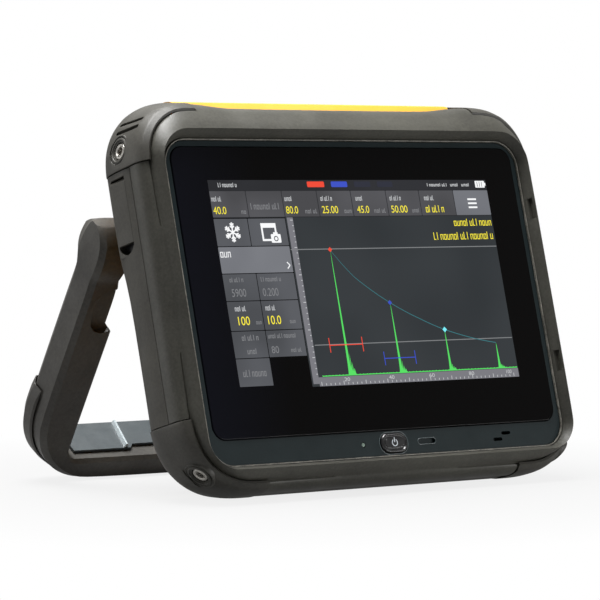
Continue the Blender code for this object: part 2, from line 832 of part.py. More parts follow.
def make_rear_housing():
    """The yellow shell: walls under the bands, a proud strip along the top, and a hump with a battery bay."""
    seat = guard_depth + gap
    tail = seam_tail + gap
    low_tail = rest_flat_end_inset + 0.0058 + gap
    wall = seat + housing_wall
    hump = plain_rect(flange_back_y, hump_half_width, hump_bottom, hump_top, hump_radius)
    bay = plain_rect(hump_back_y, bay_half_width, bay_bottom, bay_top, bay_radius)
    inner_back = hump_back_y - hump_back_wall
    inner_front = flange_back_y - back_wall
    # Each line gives the depth, the insets at the sides and the bottom, and the open top strip's inset
    lines = [
        (split_y + gap, seat, seat, None),
        (split_y + 0.0045, seat, seat, 0.0021),
        (split_y + 0.0082, seat, seat, 0.0003),
        (rear_edge_y - 0.0055, seat, seat, 0.0003),
        (rear_edge_y, tail, low_tail, 0.0020),
        (rear_edge_y + gap, 0.0058, low_tail - 0.0014, 0.0022),
        (flange_back_y - 0.0023, 0.0074, low_tail - 0.0006, 0.0040),
        (flange_back_y, 0.0104, low_tail + 0.0022, None),
    ]
    columns = []
    for station in body_walk:
        rings = []
        for y, side, bottom, open_top in lines:
            ring = inset_rect(y, side, bottom)
            if station.zone == "top" and open_top is not None:
                ring = ring._replace(top=body_top - open_top)
            rings.append(ring)
        rings += [
            hump, hump._replace(y=hump_back_y - hump_edge_run),
            shrink(hump, hump_edge * 0.35, hump_back_y - hump_edge_run * 0.32),
            shrink(hump, hump_edge, hump_back_y),
            bay, bay._replace(y=inner_back),
            shrink(hump, hump_wall, inner_back), shrink(hump, hump_wall, inner_front),
            inset_rect(inner_front, wall + 0.0010, low_tail + 0.0050), inset_rect(split_y + gap, wall, wall),
        ]
        columns.append(column(rings, station))
    housing = solid_from_rows("rear_housing", columns_to_rows(columns), yellow_plastic, closed=True)
    for side in (-1.0, 1.0):
        name = "cut_pivot_" + ("l" if side < 0.0 else "r")
        pad = turned(name.replace("cut", "add"), [(hump_half_width - 0.0010, pivot_pad_radius + 0.0008),
                                                  (hump_half_width + 0.0008, pivot_pad_radius),
                                                  (pivot_pad_face, pivot_pad_radius)],
                     (0.0, pivot_y, pivot_z), (side, 0.0, 0.0), None, segments=24, cutter=True)
        join(housing, pad)
        hole = turned(name, [(-0.010, pin_radius + bore_clearance), (0.010, pin_radius + bore_clearance)],
                      (side * hump_half_width, pivot_y, pivot_z), (1.0, 0.0, 0.0), None, cutter=True)
        cut(housing, hole)
    for index, (x, z) in enumerate(housing_screw_places):
        face = screw_seat_y(z)
        recess = screw_head_height + 0.0002
        pocket = turned("cut_housing_screw_%d" % index, [
            (-2.0 * housing_screw_length, screw_shank_radius + gap), (-recess, screw_shank_radius + gap),
            (-recess, screw_head_radius + gap), (0.010, screw_head_radius + gap)],
            (x, face, z), (0.0, 1.0, 0.0), None, segments=12, cutter=True)
        cut(housing, pocket)
    return housing


def screw_seat_y(z):
    """The depth of the rear face at a height."""
    return step_depth(flange_back_y, z)


# Port bay

def make_port_bay(band, housing):
    """The port door on its hinge pin, the socket block behind it and the pockets that they sit in."""
    pocket = box("cut_port_pocket", (-body_half_width - 0.004, bay_front_y, finger_slot_bottom_z),
                 (-port_back_x + 0.002, bay_back_y, door_top_z + 0.0004), None, cutter=True)
    cut(band, pocket)
    pin_low = bay_front_y - 0.0012
    pin_high = bay_back_y + bay_margin
    pin_seat = turned("cut_door_pin", [(pin_low - gap, door_hinge_radius + 0.0002),
                                       (pin_high + gap, door_hinge_radius + 0.0002)],
                      (-door_hinge_x, 0.0, door_hinge_z), (0.0, 1.0, 0.0), None, segments=12, cutter=True)
    cut(band, pin_seat)
    wall_hole = box("cut_port_wall", (-body_half_width, bay_front_y, finger_slot_bottom_z),
                    (-port_back_x + 0.002, bay_back_y, door_top_z + 0.0004), None, cutter=True)
    cut(housing, wall_hole)
    turned("door_hinge_pin", [(pin_low, door_hinge_radius), (pin_high, door_hinge_radius)],
           (-door_hinge_x, 0.0, door_hinge_z), (0.0, 1.0, 0.0), steel, segments=12)
    block = box("port_block", (-port_face_x, bay_front_y + gap, finger_slot_bottom_z + gap),
                (-port_back_x, bay_back_y - gap, door_hinge_z - door_knuckle_radius - 0.0006), black_plastic)
    middle_y = (bay_front_y + bay_back_y) / 2.0
    for index, height in enumerate((0.0280, 0.0395)):
        rows = []
        for x in (-port_face_x - 0.002, -port_face_x + 0.0035):
            outline = stadium(0.0045, 0.0016)
            rows.append([Vector((x, middle_y + across, height + up)) for up, across in outline])
        cut(block, solid_from_rows("cut_port_socket_%d" % index, rows, None, cutter=True))
    make_door(middle_y)


def make_door(middle_y):
    """The door hangs on its pin, so it is drawn from the hinge axis."""
    outer = door_hinge_x - body_half_width + door_inset
    inner = outer + door_thickness
    drop = door_bottom_z - door_hinge_z
    outline = [(outer, drop), (outer, 0.0)]
    for step in range(1, 8):
        angle = math.radians(180.0 - 180.0 * step / 8.0)
        outline.append((door_knuckle_radius * math.cos(angle), door_knuckle_radius * math.sin(angle)))
    outline += [(door_knuckle_radius, -0.0006), (inner, -0.0026)]
    outline += [(inner, drop + 0.0012), (inner - 0.0012, drop)]
    half = (bay_back_y - bay_front_y) / 2.0 - gap
    rows = []
    for y in (middle_y - half, middle_y + half):
        rows.append([Vector((x, y, z)) for x, z in outline])
    door = solid_from_rows("port_door", rows, band_rubber, parent=door_frame)
    bore = turned("cut_door_bore", [(0.0, door_hinge_radius + 0.0002), (0.05, door_hinge_radius + 0.0002)],
                  (0.0, 0.0, 0.0), (0.0, 1.0, 0.0), None, segments=12, parent=door_frame, cutter=True)
    cut(door, bore)


# Probe sockets

def make_probe_sockets(band, housing):
    """Two round probe sockets on a plate in the right side."""
    low = socket_bay_z - socket_bay_half_height
    high = socket_bay_z + socket_bay_half_height
    bay_end = bay_back_y + bay_margin
    pocket = box("cut_socket_pocket", (port_back_x - 0.004, bay_front_y, low),
                 (body_half_width + 0.004, bay_end, high), None, bevel=socket_bay_rounding, cutter=True)
    cut(band, pocket)
    wall_hole = box("cut_socket_wall", (port_back_x - 0.002, bay_front_y, low),
                    (body_half_width, bay_end, high), None, cutter=True)
    cut(housing, wall_hole)
    plate = box("socket_plate", (port_back_x, bay_front_y + gap, low + gap),
                (port_face_x, bay_end - gap, high - gap), black_plastic, bevel=socket_bay_rounding)
    for index, height in enumerate(socket_heights):
        place = (0.0, socket_y, height)
        hole_profile = [(socket_back_x - cut_margin, socket_body_radius + gap),
                        (body_half_width + cut_margin, socket_body_radius + gap)]
        cut(plate, turned("cut_socket_%d" % index, hole_profile, place, (1.0, 0.0, 0.0), None, cutter=True))
        seat = port_face_x + gap
        bore_floor = socket_front_x - socket_bore_depth
        profile = [(socket_back_x, 0.0030), (socket_back_x, socket_body_radius), (seat, socket_body_radius),
                   (seat, socket_flange_radius - 0.0008), (seat + 0.0014, socket_flange_radius - 0.0008),
                   (seat + 0.0014, socket_body_radius), (socket_front_x - 0.0004, socket_body_radius),
                   (socket_front_x, socket_body_radius - 0.0004), (socket_front_x, socket_bore_radius),
                   (bore_floor, socket_bore_radius), (bore_floor, 0.0006)]
        rows = turned_rows(profile, place, (1.0, 0.0, 0.0), 20)
        solid_from_rows("probe_socket_%d" % (index + 1), rows, nickel)


# Front panel, glass and controls

def make_panel():
    """The hard panel: a pocket for the glass, a window for the display, and the strip with the controls."""
    outside = plain_rect(panel_front_y, opening_half_width - gap, opening_bottom + gap, opening_top - gap,
                         opening_radius - gap)
    pocket = plain_rect(panel_front_y, glass_half_width + gap, glass_bottom - gap, glass_top + gap,
                        glass_radius + gap)
    floor_y = glass_thickness + gap
    window_half_height = display_half_height + gap
    window = plain_rect(floor_y, display_half_width + gap, -window_half_height, window_half_height, 0.0012)
    panel = ring_frame("front_panel", [outside, pocket, pocket._replace(y=floor_y), window,
                                       window._replace(y=panel_back_y), outside._replace(y=panel_back_y)],
                       panel_plastic, small_walk(6))
    outline = [(x, strip_z + z) for x, z in stadium(button_half_length + gap, button_half_height + gap)]
    cut(panel, plate_from_outline("cut_button", outline, -0.010, 0.010, None, cutter=True))
    cut(panel, turned("cut_light", [(-0.010, light_radius + gap), (0.010, light_radius + gap)],
                      (light_x, 0.0, strip_z), (0.0, 1.0, 0.0), None, segments=12, cutter=True))
    outline = [(slot_x + x, strip_z + z) for x, z in stadium(slot_half_length, slot_half_height, 5)]
    cut(panel, plate_from_outline("cut_slot", outline, -0.010, panel_front_y + slot_depth, None, cutter=True))
    for index, x_middle in enumerate(sound_slot_x):
        height = strip_z + (index - 0.5) * 2.0 * sound_slot_rise
        shape = stadium(slot_half_length * 0.55, slot_half_height * 0.7, 4)
        outline = [(x_middle + x, height + z) for x, z in shape]
        cut(panel, plate_from_outline("cut_sound_%d" % index, outline, -0.010, 0.010, None, cutter=True))
    sheet = plain_rect(0.0, glass_half_width, glass_bottom, glass_top, glass_radius)
    ring_plate("touch_glass", [shrink(sheet, 0.0003, 0.0), sheet._replace(y=0.0003),
                               sheet._replace(y=glass_thickness)], cover_glass, small_walk(6))
    make_display()
    make_controls()


def make_display():
    """The display module stands in the panel's window; the chassis plate lies behind it."""
    face = plain_rect(glass_thickness + gap, display_half_width, -display_half_height, display_half_height,
                      0.0010)
    frame = plain_rect(panel_back_y + gap, display_frame_half_width, -display_frame_half_height,
                       display_frame_half_height, 0.0020)
    ring_plate("display_module", [face, face._replace(y=frame.y), frame, frame._replace(y=display_back_y)],
               display_metal, small_walk(2))
    plate = plain_rect(chassis_front_y, opening_half_width - gap, opening_bottom + gap, opening_top - gap,
                       opening_radius - gap)
    chassis = ring_plate("chassis_plate", [plate, plate._replace(y=chassis_back_y)], cast_metal)
    for index, (x, z) in enumerate(standoff_places):
        post_profile = [(chassis_back_y - chassis_thickness / 2.0, standoff_radius),
                        (main_front_y - gap, standoff_radius)]
        join(chassis, turned("add_post_%d" % index, post_profile, (x, 0.0, z), (0.0, 1.0, 0.0), None,
                             segments=12, cutter=True))


chassis_front_y = display_back_y + gap
chassis_back_y = chassis_front_y + chassis_thickness
main_front_y = chassis_back_y + main_board_gap
standoff_margin = 0.0060
standoff_places = [
    (x, z)
    for x in (-pulser_board_half_width + standoff_margin, pulser_board_half_width - standoff_margin)
    for z in (pulser_board_bottom + standoff_margin, pulser_board_top - standoff_margin)
]


def make_controls():
    """The power button, its switch, the status light and the speaker."""
    rows = []
    flange_y = panel_back_y + button_travel * 0.4
    for y, grow in ((button_front_y, -0.0004), (button_front_y + 0.0004, 0.0), (flange_y, 0.0)):
        rows.append([Vector((x, y, strip_z + z))
                     for x, z in stadium(button_half_length + grow, button_half_height + grow)])
    for y in (flange_y, flange_y + 0.0010):
        rows.append([Vector((x, y, strip_z + z))
                     for x, z in stadium(button_half_length + button_flange, button_half_height)])
    solid_from_rows("power_button", rows, button_plastic)
    switch_front = flange_y + 0.0010 + button_travel + gap
    box("button_switch", (-0.0045, switch_front, strip_z - 0.0030),
        (0.0045, chassis_front_y - gap, strip_z + 0.0030),
        black_plastic, bevel=0.0003)
    turned("status_light", [(panel_front_y + 0.0002, light_radius), (panel_back_y + 0.0010, light_radius)],
           (light_x, 0.0, strip_z), (0.0, 1.0, 0.0), light_plastic, segments=12)
    middle = sum(sound_slot_x) / len(sound_slot_x)
    magnet_radius = speaker_radius * 0.7
    profile = [(panel_back_y + gap, speaker_radius), (panel_back_y + 0.0030, speaker_radius),
               (panel_back_y + 0.0036, magnet_radius), (chassis_front_y - gap, magnet_radius)]
    turned("speaker", profile, (middle, 0.0, strip_z), (0.0, 1.0, 0.0), black_plastic)


# Boards and battery

def make_boards():
    """The two circuit boards on their standoffs, with a screening can over the pulser."""
    box("main_board", (-main_board_half_width, main_front_y, main_board_bottom),
        (main_board_half_width, main_front_y + board_thickness, main_board_top), board_green)
    pulser_front = main_front_y + board_thickness + pulser_board_gap
    box("pulser_board", (-pulser_board_half_width, pulser_front, pulser_board_bottom),
        (pulser_board_half_width, pulser_front + board_thickness, pulser_board_top), board_green)
    turned_set("board_standoff", [(main_front_y + board_thickness + gap, standoff_radius),
                                  (pulser_front - gap, standoff_radius)],
               [(x, 0.0, z) for x, z in standoff_places], (0.0, 1.0, 0.0), nickel)
    can_front = pulser_front + board_thickness + gap
    half = pulser_board_half_width - can_side_inset
    box("pulser_can", (-half, can_front, pulser_board_bottom + can_bottom_inset),
        (half, can_front + can_height, pulser_board_top - can_top_inset), display_metal, bevel=0.0012)


def make_battery():
    """The tray hangs by its flange inside the bay, the pack lies in it and the cover closes it flush."""
    rim_y = hump_back_y - cover_thickness - gap
    flange_back = hump_back_y - hump_back_wall - gap
    flange_front = flange_back - tray_flange_thickness
    outer = plain_rect(rim_y, bay_half_width - gap, bay_bottom + gap, bay_top - gap, bay_radius - gap)
    wide = shrink(outer, -tray_flange, flange_back)
    hollow = shrink(outer, tray_wall, rim_y)
    floor_inner = tray_floor_y + tray_floor
    tray = ring_plate("battery_tray", [
        hollow._replace(y=floor_inner), hollow, outer, outer._replace(y=flange_back), wide,
        wide._replace(y=flange_front), outer._replace(y=flange_front), outer._replace(y=tray_floor_y),
    ], black_plastic)
    pack = shrink(hollow, gap, floor_inner + gap)
    pack_edge = 0.0015
    ring_plate("battery_pack", [
        shrink(pack, pack_edge, pack.y), pack._replace(y=pack.y + pack_edge),
        pack._replace(y=rim_y - pack_edge), shrink(pack, pack_edge, rim_y)], battery_shell)
    lid = outer._replace(y=rim_y + gap)
    lid_edge = 0.0005
    lid_rings = [lid, lid._replace(y=hump_back_y - lid_edge), shrink(lid, lid_edge, hump_back_y)]
    cover = ring_plate("battery_cover", lid_rings,
                       black_plastic)
    for index in range(grip_rib_count):
        height = bay_bottom + 0.012 + index * grip_rib_pitch
        outline = [(x, height + z) for x, z in stadium(0.016, 0.0012, 3)]
        cut(cover, plate_from_outline("cut_grip_%d" % index, outline, hump_back_y - 0.0009,
                                      hump_back_y + cut_margin, None, cutter=True))
    inset = tray_wall / 2.0
    places = []
    for x in (-outer.half_width + inset, outer.half_width - inset):
        for z in (outer.bottom + inset, outer.top - inset):
            places.append((x, hump_back_y, z))
    recess = screw_head_height * 0.7
    for index, place in enumerate(places):
        pocket = turned("cut_cover_screw_%d" % index, [
            (-0.020, screw_shank_radius + gap), (-recess, screw_shank_radius + gap),
            (-recess, screw_head_radius * 0.85 + gap), (0.010, screw_head_radius * 0.85 + gap)],
            place, (0.0, 1.0, 0.0), None, segments=12, cutter=True)
        cut(cover, pocket)
        cut(tray, turned("cut_tray_screw_%d" % index, [
            (-cover_screw_length - 0.001, screw_shank_radius + gap), (0.010, screw_shank_radius + gap)],
            place, (0.0, 1.0, 0.0), None, segments=12, cutter=True))
    head = screw_head_radius * 0.85
    turned_set("cover_screw", [(-cover_screw_length, screw_shank_radius), (-recess + gap, screw_shank_radius),
                               (-recess + gap, head), (-0.0002, head)], places, (0.0, 1.0, 0.0), steel)


def make_housing_screws():
    """Six screws let into the rear face."""
    builder_places = [(x, screw_seat_y(z), z) for x, z in housing_screw_places]
    seat = screw_head_height + 0.0002 - gap
    turned_set("housing_screw", [(-housing_screw_length, screw_shank_radius), (-seat, screw_shank_radius),
                                 (-seat, screw_head_radius), (-0.0001, screw_head_radius)],
               builder_places, (0.0, 1.0, 0.0), steel)


# Tilt handle

def ground_height():
    """The height of the ground line below the body's origin when the body leans on its lower guards."""
    flat_z = body_bottom + rest_flat_inset - guard_proud
    return flat_z * math.cos(body_lean) - rest_flat_start_y * math.sin(body_lean)


def pivot_height():
    """The height of the handle pivot above the ground."""
    return pivot_z * math.cos(body_lean) - pivot_y * math.sin(body_lean) - ground_height()


foot_distance = pivot_height()
foot_depth = bar_front - foot_flat * math.cos(handle_lean)
handle_length = (foot_distance - foot_depth * math.sin(handle_lean)) / math.cos(handle_lean)

# Section is one cut through the U: its outer and inner points (x, z), the outward direction, its depths
Section = namedtuple("Section", "outer inner outward front back share")


def ground_line(depth):
    """How far from the pivot the ground lies, along the handle and at a depth, when the handle stands."""
    return (foot_distance + depth * math.sin(handle_lean)) / math.cos(handle_lean)


def bend_point(turn, face_x, face_z, radius):
    """A point on one face of the bend: the arm's face at no turn, the bar's face at a quarter turn."""
    centre_x = -face_x + radius
    centre_z = -face_z + radius
    return Vector((centre_x - radius * math.cos(turn), centre_z - radius * math.sin(turn)))


def bend_section(share):
    """The section at a share of the bend, from an arm into the bar."""
    turn = math.radians(90.0 * share)
    outer = bend_point(turn, arm_outer_x, handle_length, outer_bend_radius)
    inner = bend_point(turn, arm_low_x, handle_length - bar_width, inner_bend_radius)
    front = arm_half_depth + (bar_front - arm_half_depth) * share
    back = arm_half_depth + (bar_back - arm_half_depth) * share
    return Section(outer, inner, Vector((-math.cos(turn), -math.sin(turn))), front, back, share)


def arm_station(z, inner_x, half_depth, proud=0.0):
    """A level section of the left arm, which may stand proud on its outside."""
    outer = Vector((-arm_outer_x - proud, z))
    inner = Vector((-inner_x, z))
    return Section(outer, inner, Vector((-1.0, 0.0)), half_depth, half_depth, 0.0)


def handle_sections():
    """The sections of the left half: the lobe round the pivot, the waist, the straight arm and the bend."""
    sections = []
    for z in (boss_rise, boss_rise * 0.86, boss_rise * 0.5, 0.0):
        sections.append(arm_station(z, arm_inner_x, math.sqrt(boss_half_depth**2 - z**2), boss_proud))
    sections.append(arm_station(-0.0065, arm_inner_x, boss_half_depth * 0.97, boss_proud * 0.8))
    sections.append(arm_station(-0.0125, arm_inner_x, arm_half_depth * 0.96))
    sections.append(arm_station(-0.0200, arm_waist_x, arm_half_depth))
    sections.append(arm_station(relief_bottom + waist_step, arm_waist_x, arm_half_depth))
    sections.append(arm_station(relief_bottom, arm_low_x, arm_half_depth))
    return sections + [bend_section(step / bend_steps) for step in range(bend_steps + 1)]


def section_points(section):
    """A section's outline, with a flat on its front outer edge to stand on and a chamfer behind."""
    outer, inner, outward, front, back, share = section
    inward = (inner - outer).normalized()
    stretch = -1.0 / inward.dot(outward)
    length = (inner - outer).length
    foot_in = plain_edge + (handle_length - ground_line(-bar_front) - plain_edge) * share
    foot_back = plain_edge + (foot_flat * math.cos(handle_lean) - plain_edge) * share
    rounding = handle_rounding * stretch
    outline = [
        (0.0, -front + foot_back), (0.0, back * 0.42),
        (handle_chamfer * stretch, back), (length - rounding, back),
        (length, back - handle_rounding), (length, -front + handle_rounding), (length - rounding, -front),
        (foot_in * stretch, -front),
    ]
    points = []
    for distance, depth in outline:
        place = outer + inward * distance
        points.append(Vector((place.x, depth, place.y)))
    return points


def handle_rows():
    """Outlines of the whole U from the left boss to the right one."""
    left = [section_points(section) for section in handle_sections()]
    right = [[Vector((-point.x, point.y, point.z)) for point in row] for row in reversed(left)]
    return left + right


def make_handle():
    """The U-shaped handle with blind bores for its pins and a relief on the front of each arm's waist."""
    handle = solid_from_rows("tilt_handle", handle_rows(), handle_rubber, parent=handle_frame)
    for side in (-1.0, 1.0):
        tag = "l" if side < 0.0 else "r"
        bore_profile = [(arm_inner_x - cut_margin, pin_radius + bore_clearance),
                        (pin_end_x + gap, pin_radius + bore_clearance)]
        cut(handle, turned("cut_bore_" + tag, bore_profile, (0.0, 0.0, 0.0), (side, 0.0, 0.0), None,
                           parent=handle_frame, cutter=True))
        middle_x = side * (arm_low_x - cut_margin / 2.0 + relief_width / 2.0)
        half_length = (relief_top - relief_bottom) / 2.0
        outline = [(middle_x + x, relief_bottom + half_length + z)
                   for z, x in stadium(half_length, relief_width / 2.0)]
        relief = plate_from_outline("cut_relief_" + tag, outline, -boss_half_depth - cut_margin,
                                    -arm_half_depth + relief_depth, None, parent=handle_frame, cutter=True)
        cut(handle, relief)
    make_pivots()
    make_handle_insert()
    for side in (-1.0, 1.0):
        make_foot_pad(side)
    return handle


def make_pivots():
    """Pins that hold the handle, with their heads inside the hump, and friction washers outside it."""
    for side, tag in ((-1.0, "left"), (1.0, "right")):
        head_x = hump_half_width - hump_wall - 0.0006 - gap
        place = (0.0, pivot_y, pivot_z)
        turned("pivot_pin_" + tag, [(head_x - pin_head_length, pin_head_radius), (head_x, pin_head_radius),
                                    (head_x, pin_radius), (pin_end_x - 0.0006, pin_radius),
                                    (pin_end_x, pin_radius - 0.0006)],
               place, (side, 0.0, 0.0), steel)
        washer_profile = [(pivot_pad_face + gap, pin_radius + gap), (pivot_pad_face + gap, washer_radius),
                          (arm_inner_x - gap, washer_radius), (arm_inner_x - gap, pin_radius + gap)]
        turned("friction_washer_" + tag, washer_profile, place, (side, 0.0, 0.0), acetal, closed=True)


def make_handle_insert():
    """The hard grey insert on the inside of the bar, with a slanted rib at each end of its narrow middle."""
    face_z = -handle_length + bar_width + gap
    half = arm_low_x - inner_bend_radius - insert_end_margin
    slant = insert_rib_slant / 2.0
    step_x = insert_rib_x - slant * 0.2
    rib_foot_x = insert_rib_x + slant
    outline = [
        (-half, insert_front), (-rib_foot_x, insert_front), (-step_x, insert_middle_front),
        (step_x, insert_middle_front), (rib_foot_x, insert_front), (half, insert_front),
        (half, insert_back), (-half, insert_back),
    ]
    rows = [[Vector((x, y, z)) for x, y in outline] for z in (face_z, face_z + insert_plate_thickness)]
    insert = solid_from_rows("handle_insert", rows, insert_grey, parent=handle_frame)
    root = face_z + insert_plate_thickness / 2.0
    top = face_z + insert_plate_thickness + insert_rib_height
    half_rib = insert_rib_width / 2.0
    for side, tag in ((-1.0, "left"), (1.0, "right")):
        ends = [(side * (rib_foot_x + insert_rib_width), insert_front + 0.0005),
                (side * (insert_rib_x - slant + insert_rib_width), insert_back - 0.0005)]
        rib = []
        for x, y in ends:
            rib.append([Vector((x - half_rib, y, root)), Vector((x + half_rib, y, root)),
                        Vector((x + half_rib * 0.4, y, top)), Vector((x - half_rib * 0.4, y, top))])
        join(insert, solid_from_rows("add_rib_" + tag, rib, None, parent=handle_frame, cutter=True))


def pad_section(outer, outward, front, back, grow):
    """The outline of a pad where the handle's outer face is at a point."""
    edge = -handle_chamfer
    lip = edge - 0.0012
    chamfer_back = back * 0.42
    outline = [
        (pad_seat, -front * 0.15), (grow * 0.9, -front * 0.05), (grow, chamfer_back + grow * 0.3),
        (edge + grow * 0.5, back + grow), (lip, back + grow * 0.8), (lip, back + pad_seat),
        (edge + pad_seat * 0.45, back + pad_seat), (pad_seat, chamfer_back + pad_seat * 0.45),
    ]
    points = []
    for distance, depth in outline:
        place = outer + outward * distance
        points.append(Vector((place.x, depth, place.y)))
    return points


def make_foot_pad(side):
    """A rubber pad wrapped round an outer corner of the U."""
    start = bend_section(0.0)
    rows = []
    for rise, grow in ((pad_rise, pad_thickness * 0.55), (pad_rise * 0.5, pad_thickness)):
        outer = start.outer + Vector((0.0, rise))
        rows.append(pad_section(outer, start.outward, start.front, start.back, grow))
    for step in range(pad_turn_steps + 1):
        section = bend_section(pad_turn * step / pad_turn_steps / math.radians(90.0))
        grow = pad_thickness * (0.55 if step == pad_turn_steps else 1.0)
        rows.append(pad_section(section.outer, section.outward, section.front, section.back, grow))
    tag = "left" if side < 0.0 else "right"
    if side > 0.0:
        rows = [[Vector((-point.x, point.y, point.z)) for point in row] for row in rows]
    solid_from_rows("foot_pad_" + tag, rows, guard_rubber, parent=handle_frame)


# Assembly

def seat_on_ground():
    """Moves the whole object so that its lowest points touch z = 0 and its box is centred on the origin."""
    bpy.context.view_layer.update()
    low = Vector((math.inf,) * 3)
    high = Vector((-math.inf,) * 3)
    for item in bpy.data.objects:
        if item.type != "MESH" or item.hide_render:
            continue
        for vertex in item.data.vertices:
            place = item.matrix_world @ vertex.co
            low = Vector(map(min, low, place))
            high = Vector(map(max, high, place))
    ground_frame.location = (-(low.x + high.x) / 2.0, -(low.y + high.y) / 2.0, -low.z)
    bpy.context.view_layer.update()


make_front_bumper()
for corner_name in ("top_left", "top_right", "bottom_left", "bottom_right"):
    make_guard(corner_name)
left_band = make_band("side_band_left", "left")
right_band = make_band("side_band_right", "right")
make_band("bottom_band", "bottom")
shell = make_rear_housing()
make_port_bay(left_band, shell)
make_probe_sockets(right_band, shell)
make_panel()
make_boards()
make_battery()
make_housing_screws()
make_handle()
seat_on_ground()
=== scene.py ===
# %% [markdown]
# # A handheld flaw detector in its rubber case
#
# The object is a tablet-sized measuring instrument. A yellow moulded housing is wrapped in soft dark
# rubber: a frame round the screen, four corner guards and two side bands. A tilt handle hangs from two
# pins at the back and props the instrument up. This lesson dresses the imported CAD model: every node that
# shows gets a finish and a material of its own, and the small things that CAD leaves out, such as the
# picture on the screen, the threads and the screw sockets, are modelled here.
#
# The CAD model is a fixed frame. It is loaded first, and its box is kept, so that the end of the script
# can show that nothing has grown.

# %% Load the frame
import json
from math import atan2, degrees, exp, pi, radians, sin

import bpy
from mathutils import Matrix, Vector

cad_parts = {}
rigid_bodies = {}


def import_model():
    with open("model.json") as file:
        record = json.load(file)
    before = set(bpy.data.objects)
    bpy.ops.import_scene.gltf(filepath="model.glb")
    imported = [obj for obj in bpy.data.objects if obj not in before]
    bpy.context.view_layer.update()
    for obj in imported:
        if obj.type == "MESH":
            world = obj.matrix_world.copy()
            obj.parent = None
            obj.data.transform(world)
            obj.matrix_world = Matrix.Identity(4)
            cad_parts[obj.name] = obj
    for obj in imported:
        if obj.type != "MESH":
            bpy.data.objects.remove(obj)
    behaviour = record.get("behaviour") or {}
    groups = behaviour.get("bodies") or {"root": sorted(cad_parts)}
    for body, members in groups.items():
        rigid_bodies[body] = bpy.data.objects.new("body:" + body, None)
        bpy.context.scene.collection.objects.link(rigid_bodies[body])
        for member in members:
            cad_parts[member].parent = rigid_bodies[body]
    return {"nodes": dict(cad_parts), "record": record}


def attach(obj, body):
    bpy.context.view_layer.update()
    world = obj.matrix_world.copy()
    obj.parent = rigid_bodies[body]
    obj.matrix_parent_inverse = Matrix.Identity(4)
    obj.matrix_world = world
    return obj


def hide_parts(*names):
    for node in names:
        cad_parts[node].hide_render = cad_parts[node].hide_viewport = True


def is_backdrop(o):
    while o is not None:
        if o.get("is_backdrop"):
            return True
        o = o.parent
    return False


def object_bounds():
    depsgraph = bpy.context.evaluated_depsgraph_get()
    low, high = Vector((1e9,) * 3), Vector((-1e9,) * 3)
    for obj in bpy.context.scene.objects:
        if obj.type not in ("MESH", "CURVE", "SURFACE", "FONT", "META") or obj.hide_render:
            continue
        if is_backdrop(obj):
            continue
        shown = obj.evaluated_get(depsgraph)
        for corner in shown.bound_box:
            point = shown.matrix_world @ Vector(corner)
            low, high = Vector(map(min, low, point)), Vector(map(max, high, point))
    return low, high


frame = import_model()
cad_low, cad_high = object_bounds()
mm = 0.001
print("CAD box in mm:", [round((high - low) / mm, 1) for low, high in zip(cad_low, cad_high)])

# %% [markdown]
# ## The frame of the device
#
# The instrument leans back on its handle, so its screen isn't upright. Everything on the front is easier
# to place on a flat drawing: x to the right, y up the screen and z out of the glass. The lean comes from
# the axis of the power button, which presses straight into the panel, and the middle of the drawing is
# the middle of the display.

# %% The screen plane and the device frame
joints = {joint["name"]: joint for joint in frame["record"]["behaviour"]["joints"]}
press = Vector(joints["button_press"]["axis"])
lean = atan2(-press.z, press.y)
upright = Matrix.Rotation(lean, 4, "X")


def flat_box(node):
    """Lowest and highest corner of a node, measured along the device's own directions."""
    points = [upright @ vertex.co for vertex in frame["nodes"][node].data.vertices]
    low = Vector([min(point[axis] for point in points) for axis in range(3)])
    high = Vector([max(point[axis] for point in points) for axis in range(3)])
    return low, high


glass_face = flat_box("touch_glass")[0].y
display_low, display_high = flat_box("display_module")
middle = Vector((0.0, glass_face, (display_low.z + display_high.z) / 2))
device = upright.inverted() @ Matrix.Translation(middle)
screen = device @ Matrix.Rotation(radians(90), 4, "X")
print("lean in degrees:", round(degrees(lean), 2))
print("middle of the screen in mm:", [round(value / mm, 2) for value in device.translation])

nodes_of_body = frame["record"]["behaviour"]["bodies"]
body_of_node = {node: body for body, nodes in nodes_of_body.items() for node in nodes}
print("nodes on each body:", {body: len(nodes) for body, nodes in nodes_of_body.items()})

# %% [markdown]
# ## Tools for the hand
#
# These few helpers do what a modeller does between two steps: pick one object, put it where it belongs
# and apply its modifiers. An operator acts on all that is selected, so every helper clears the selection
# first. A finished piece lies at the origin, unturned and unscaled, with its place in its mesh, as the
# CAD nodes do.

# %% Select, place and apply
def select_only(*objects):
    """Selects these objects and nothing else; the first is the active one."""
    if bpy.context.mode != "OBJECT":
        bpy.ops.object.mode_set(mode="OBJECT")
    bpy.ops.object.select_all(action="DESELECT")
    for chosen in objects:
        chosen.select_set(True)
    bpy.context.view_layer.objects.active = objects[0]


def settle(piece, place=Matrix.Identity(4)):
    """Moves a piece from its drawing frame to its place and applies the move."""
    select_only(piece)
    bpy.ops.object.transform_apply(location=True, rotation=True, scale=True)
    piece.data.transform(place)
    piece.data.update()


def apply_modifiers(piece):
    select_only(piece)
    for modifier in list(piece.modifiers):
        bpy.ops.object.modifier_apply(modifier=modifier.name)


def join(pieces, name):
    """Joins pieces into one and names it."""
    select_only(*pieces)
    if len(pieces) > 1:
        bpy.ops.object.join()
    pieces[0].name = name
    pieces[0].data.name = name
    return pieces[0]


def placed_copy(master, name, place):
    """A copy of a piece with its own mesh, moved to its place."""
    piece = bpy.data.objects.new(name, master.data.copy())
    bpy.context.scene.collection.objects.link(piece)
    settle(piece, place)
    return piece


def shade_by_angle(piece):
    """Smooth shading over the shallow edges only."""
    select_only(piece)
    bpy.ops.object.shade_smooth_by_angle(angle=radians(35))


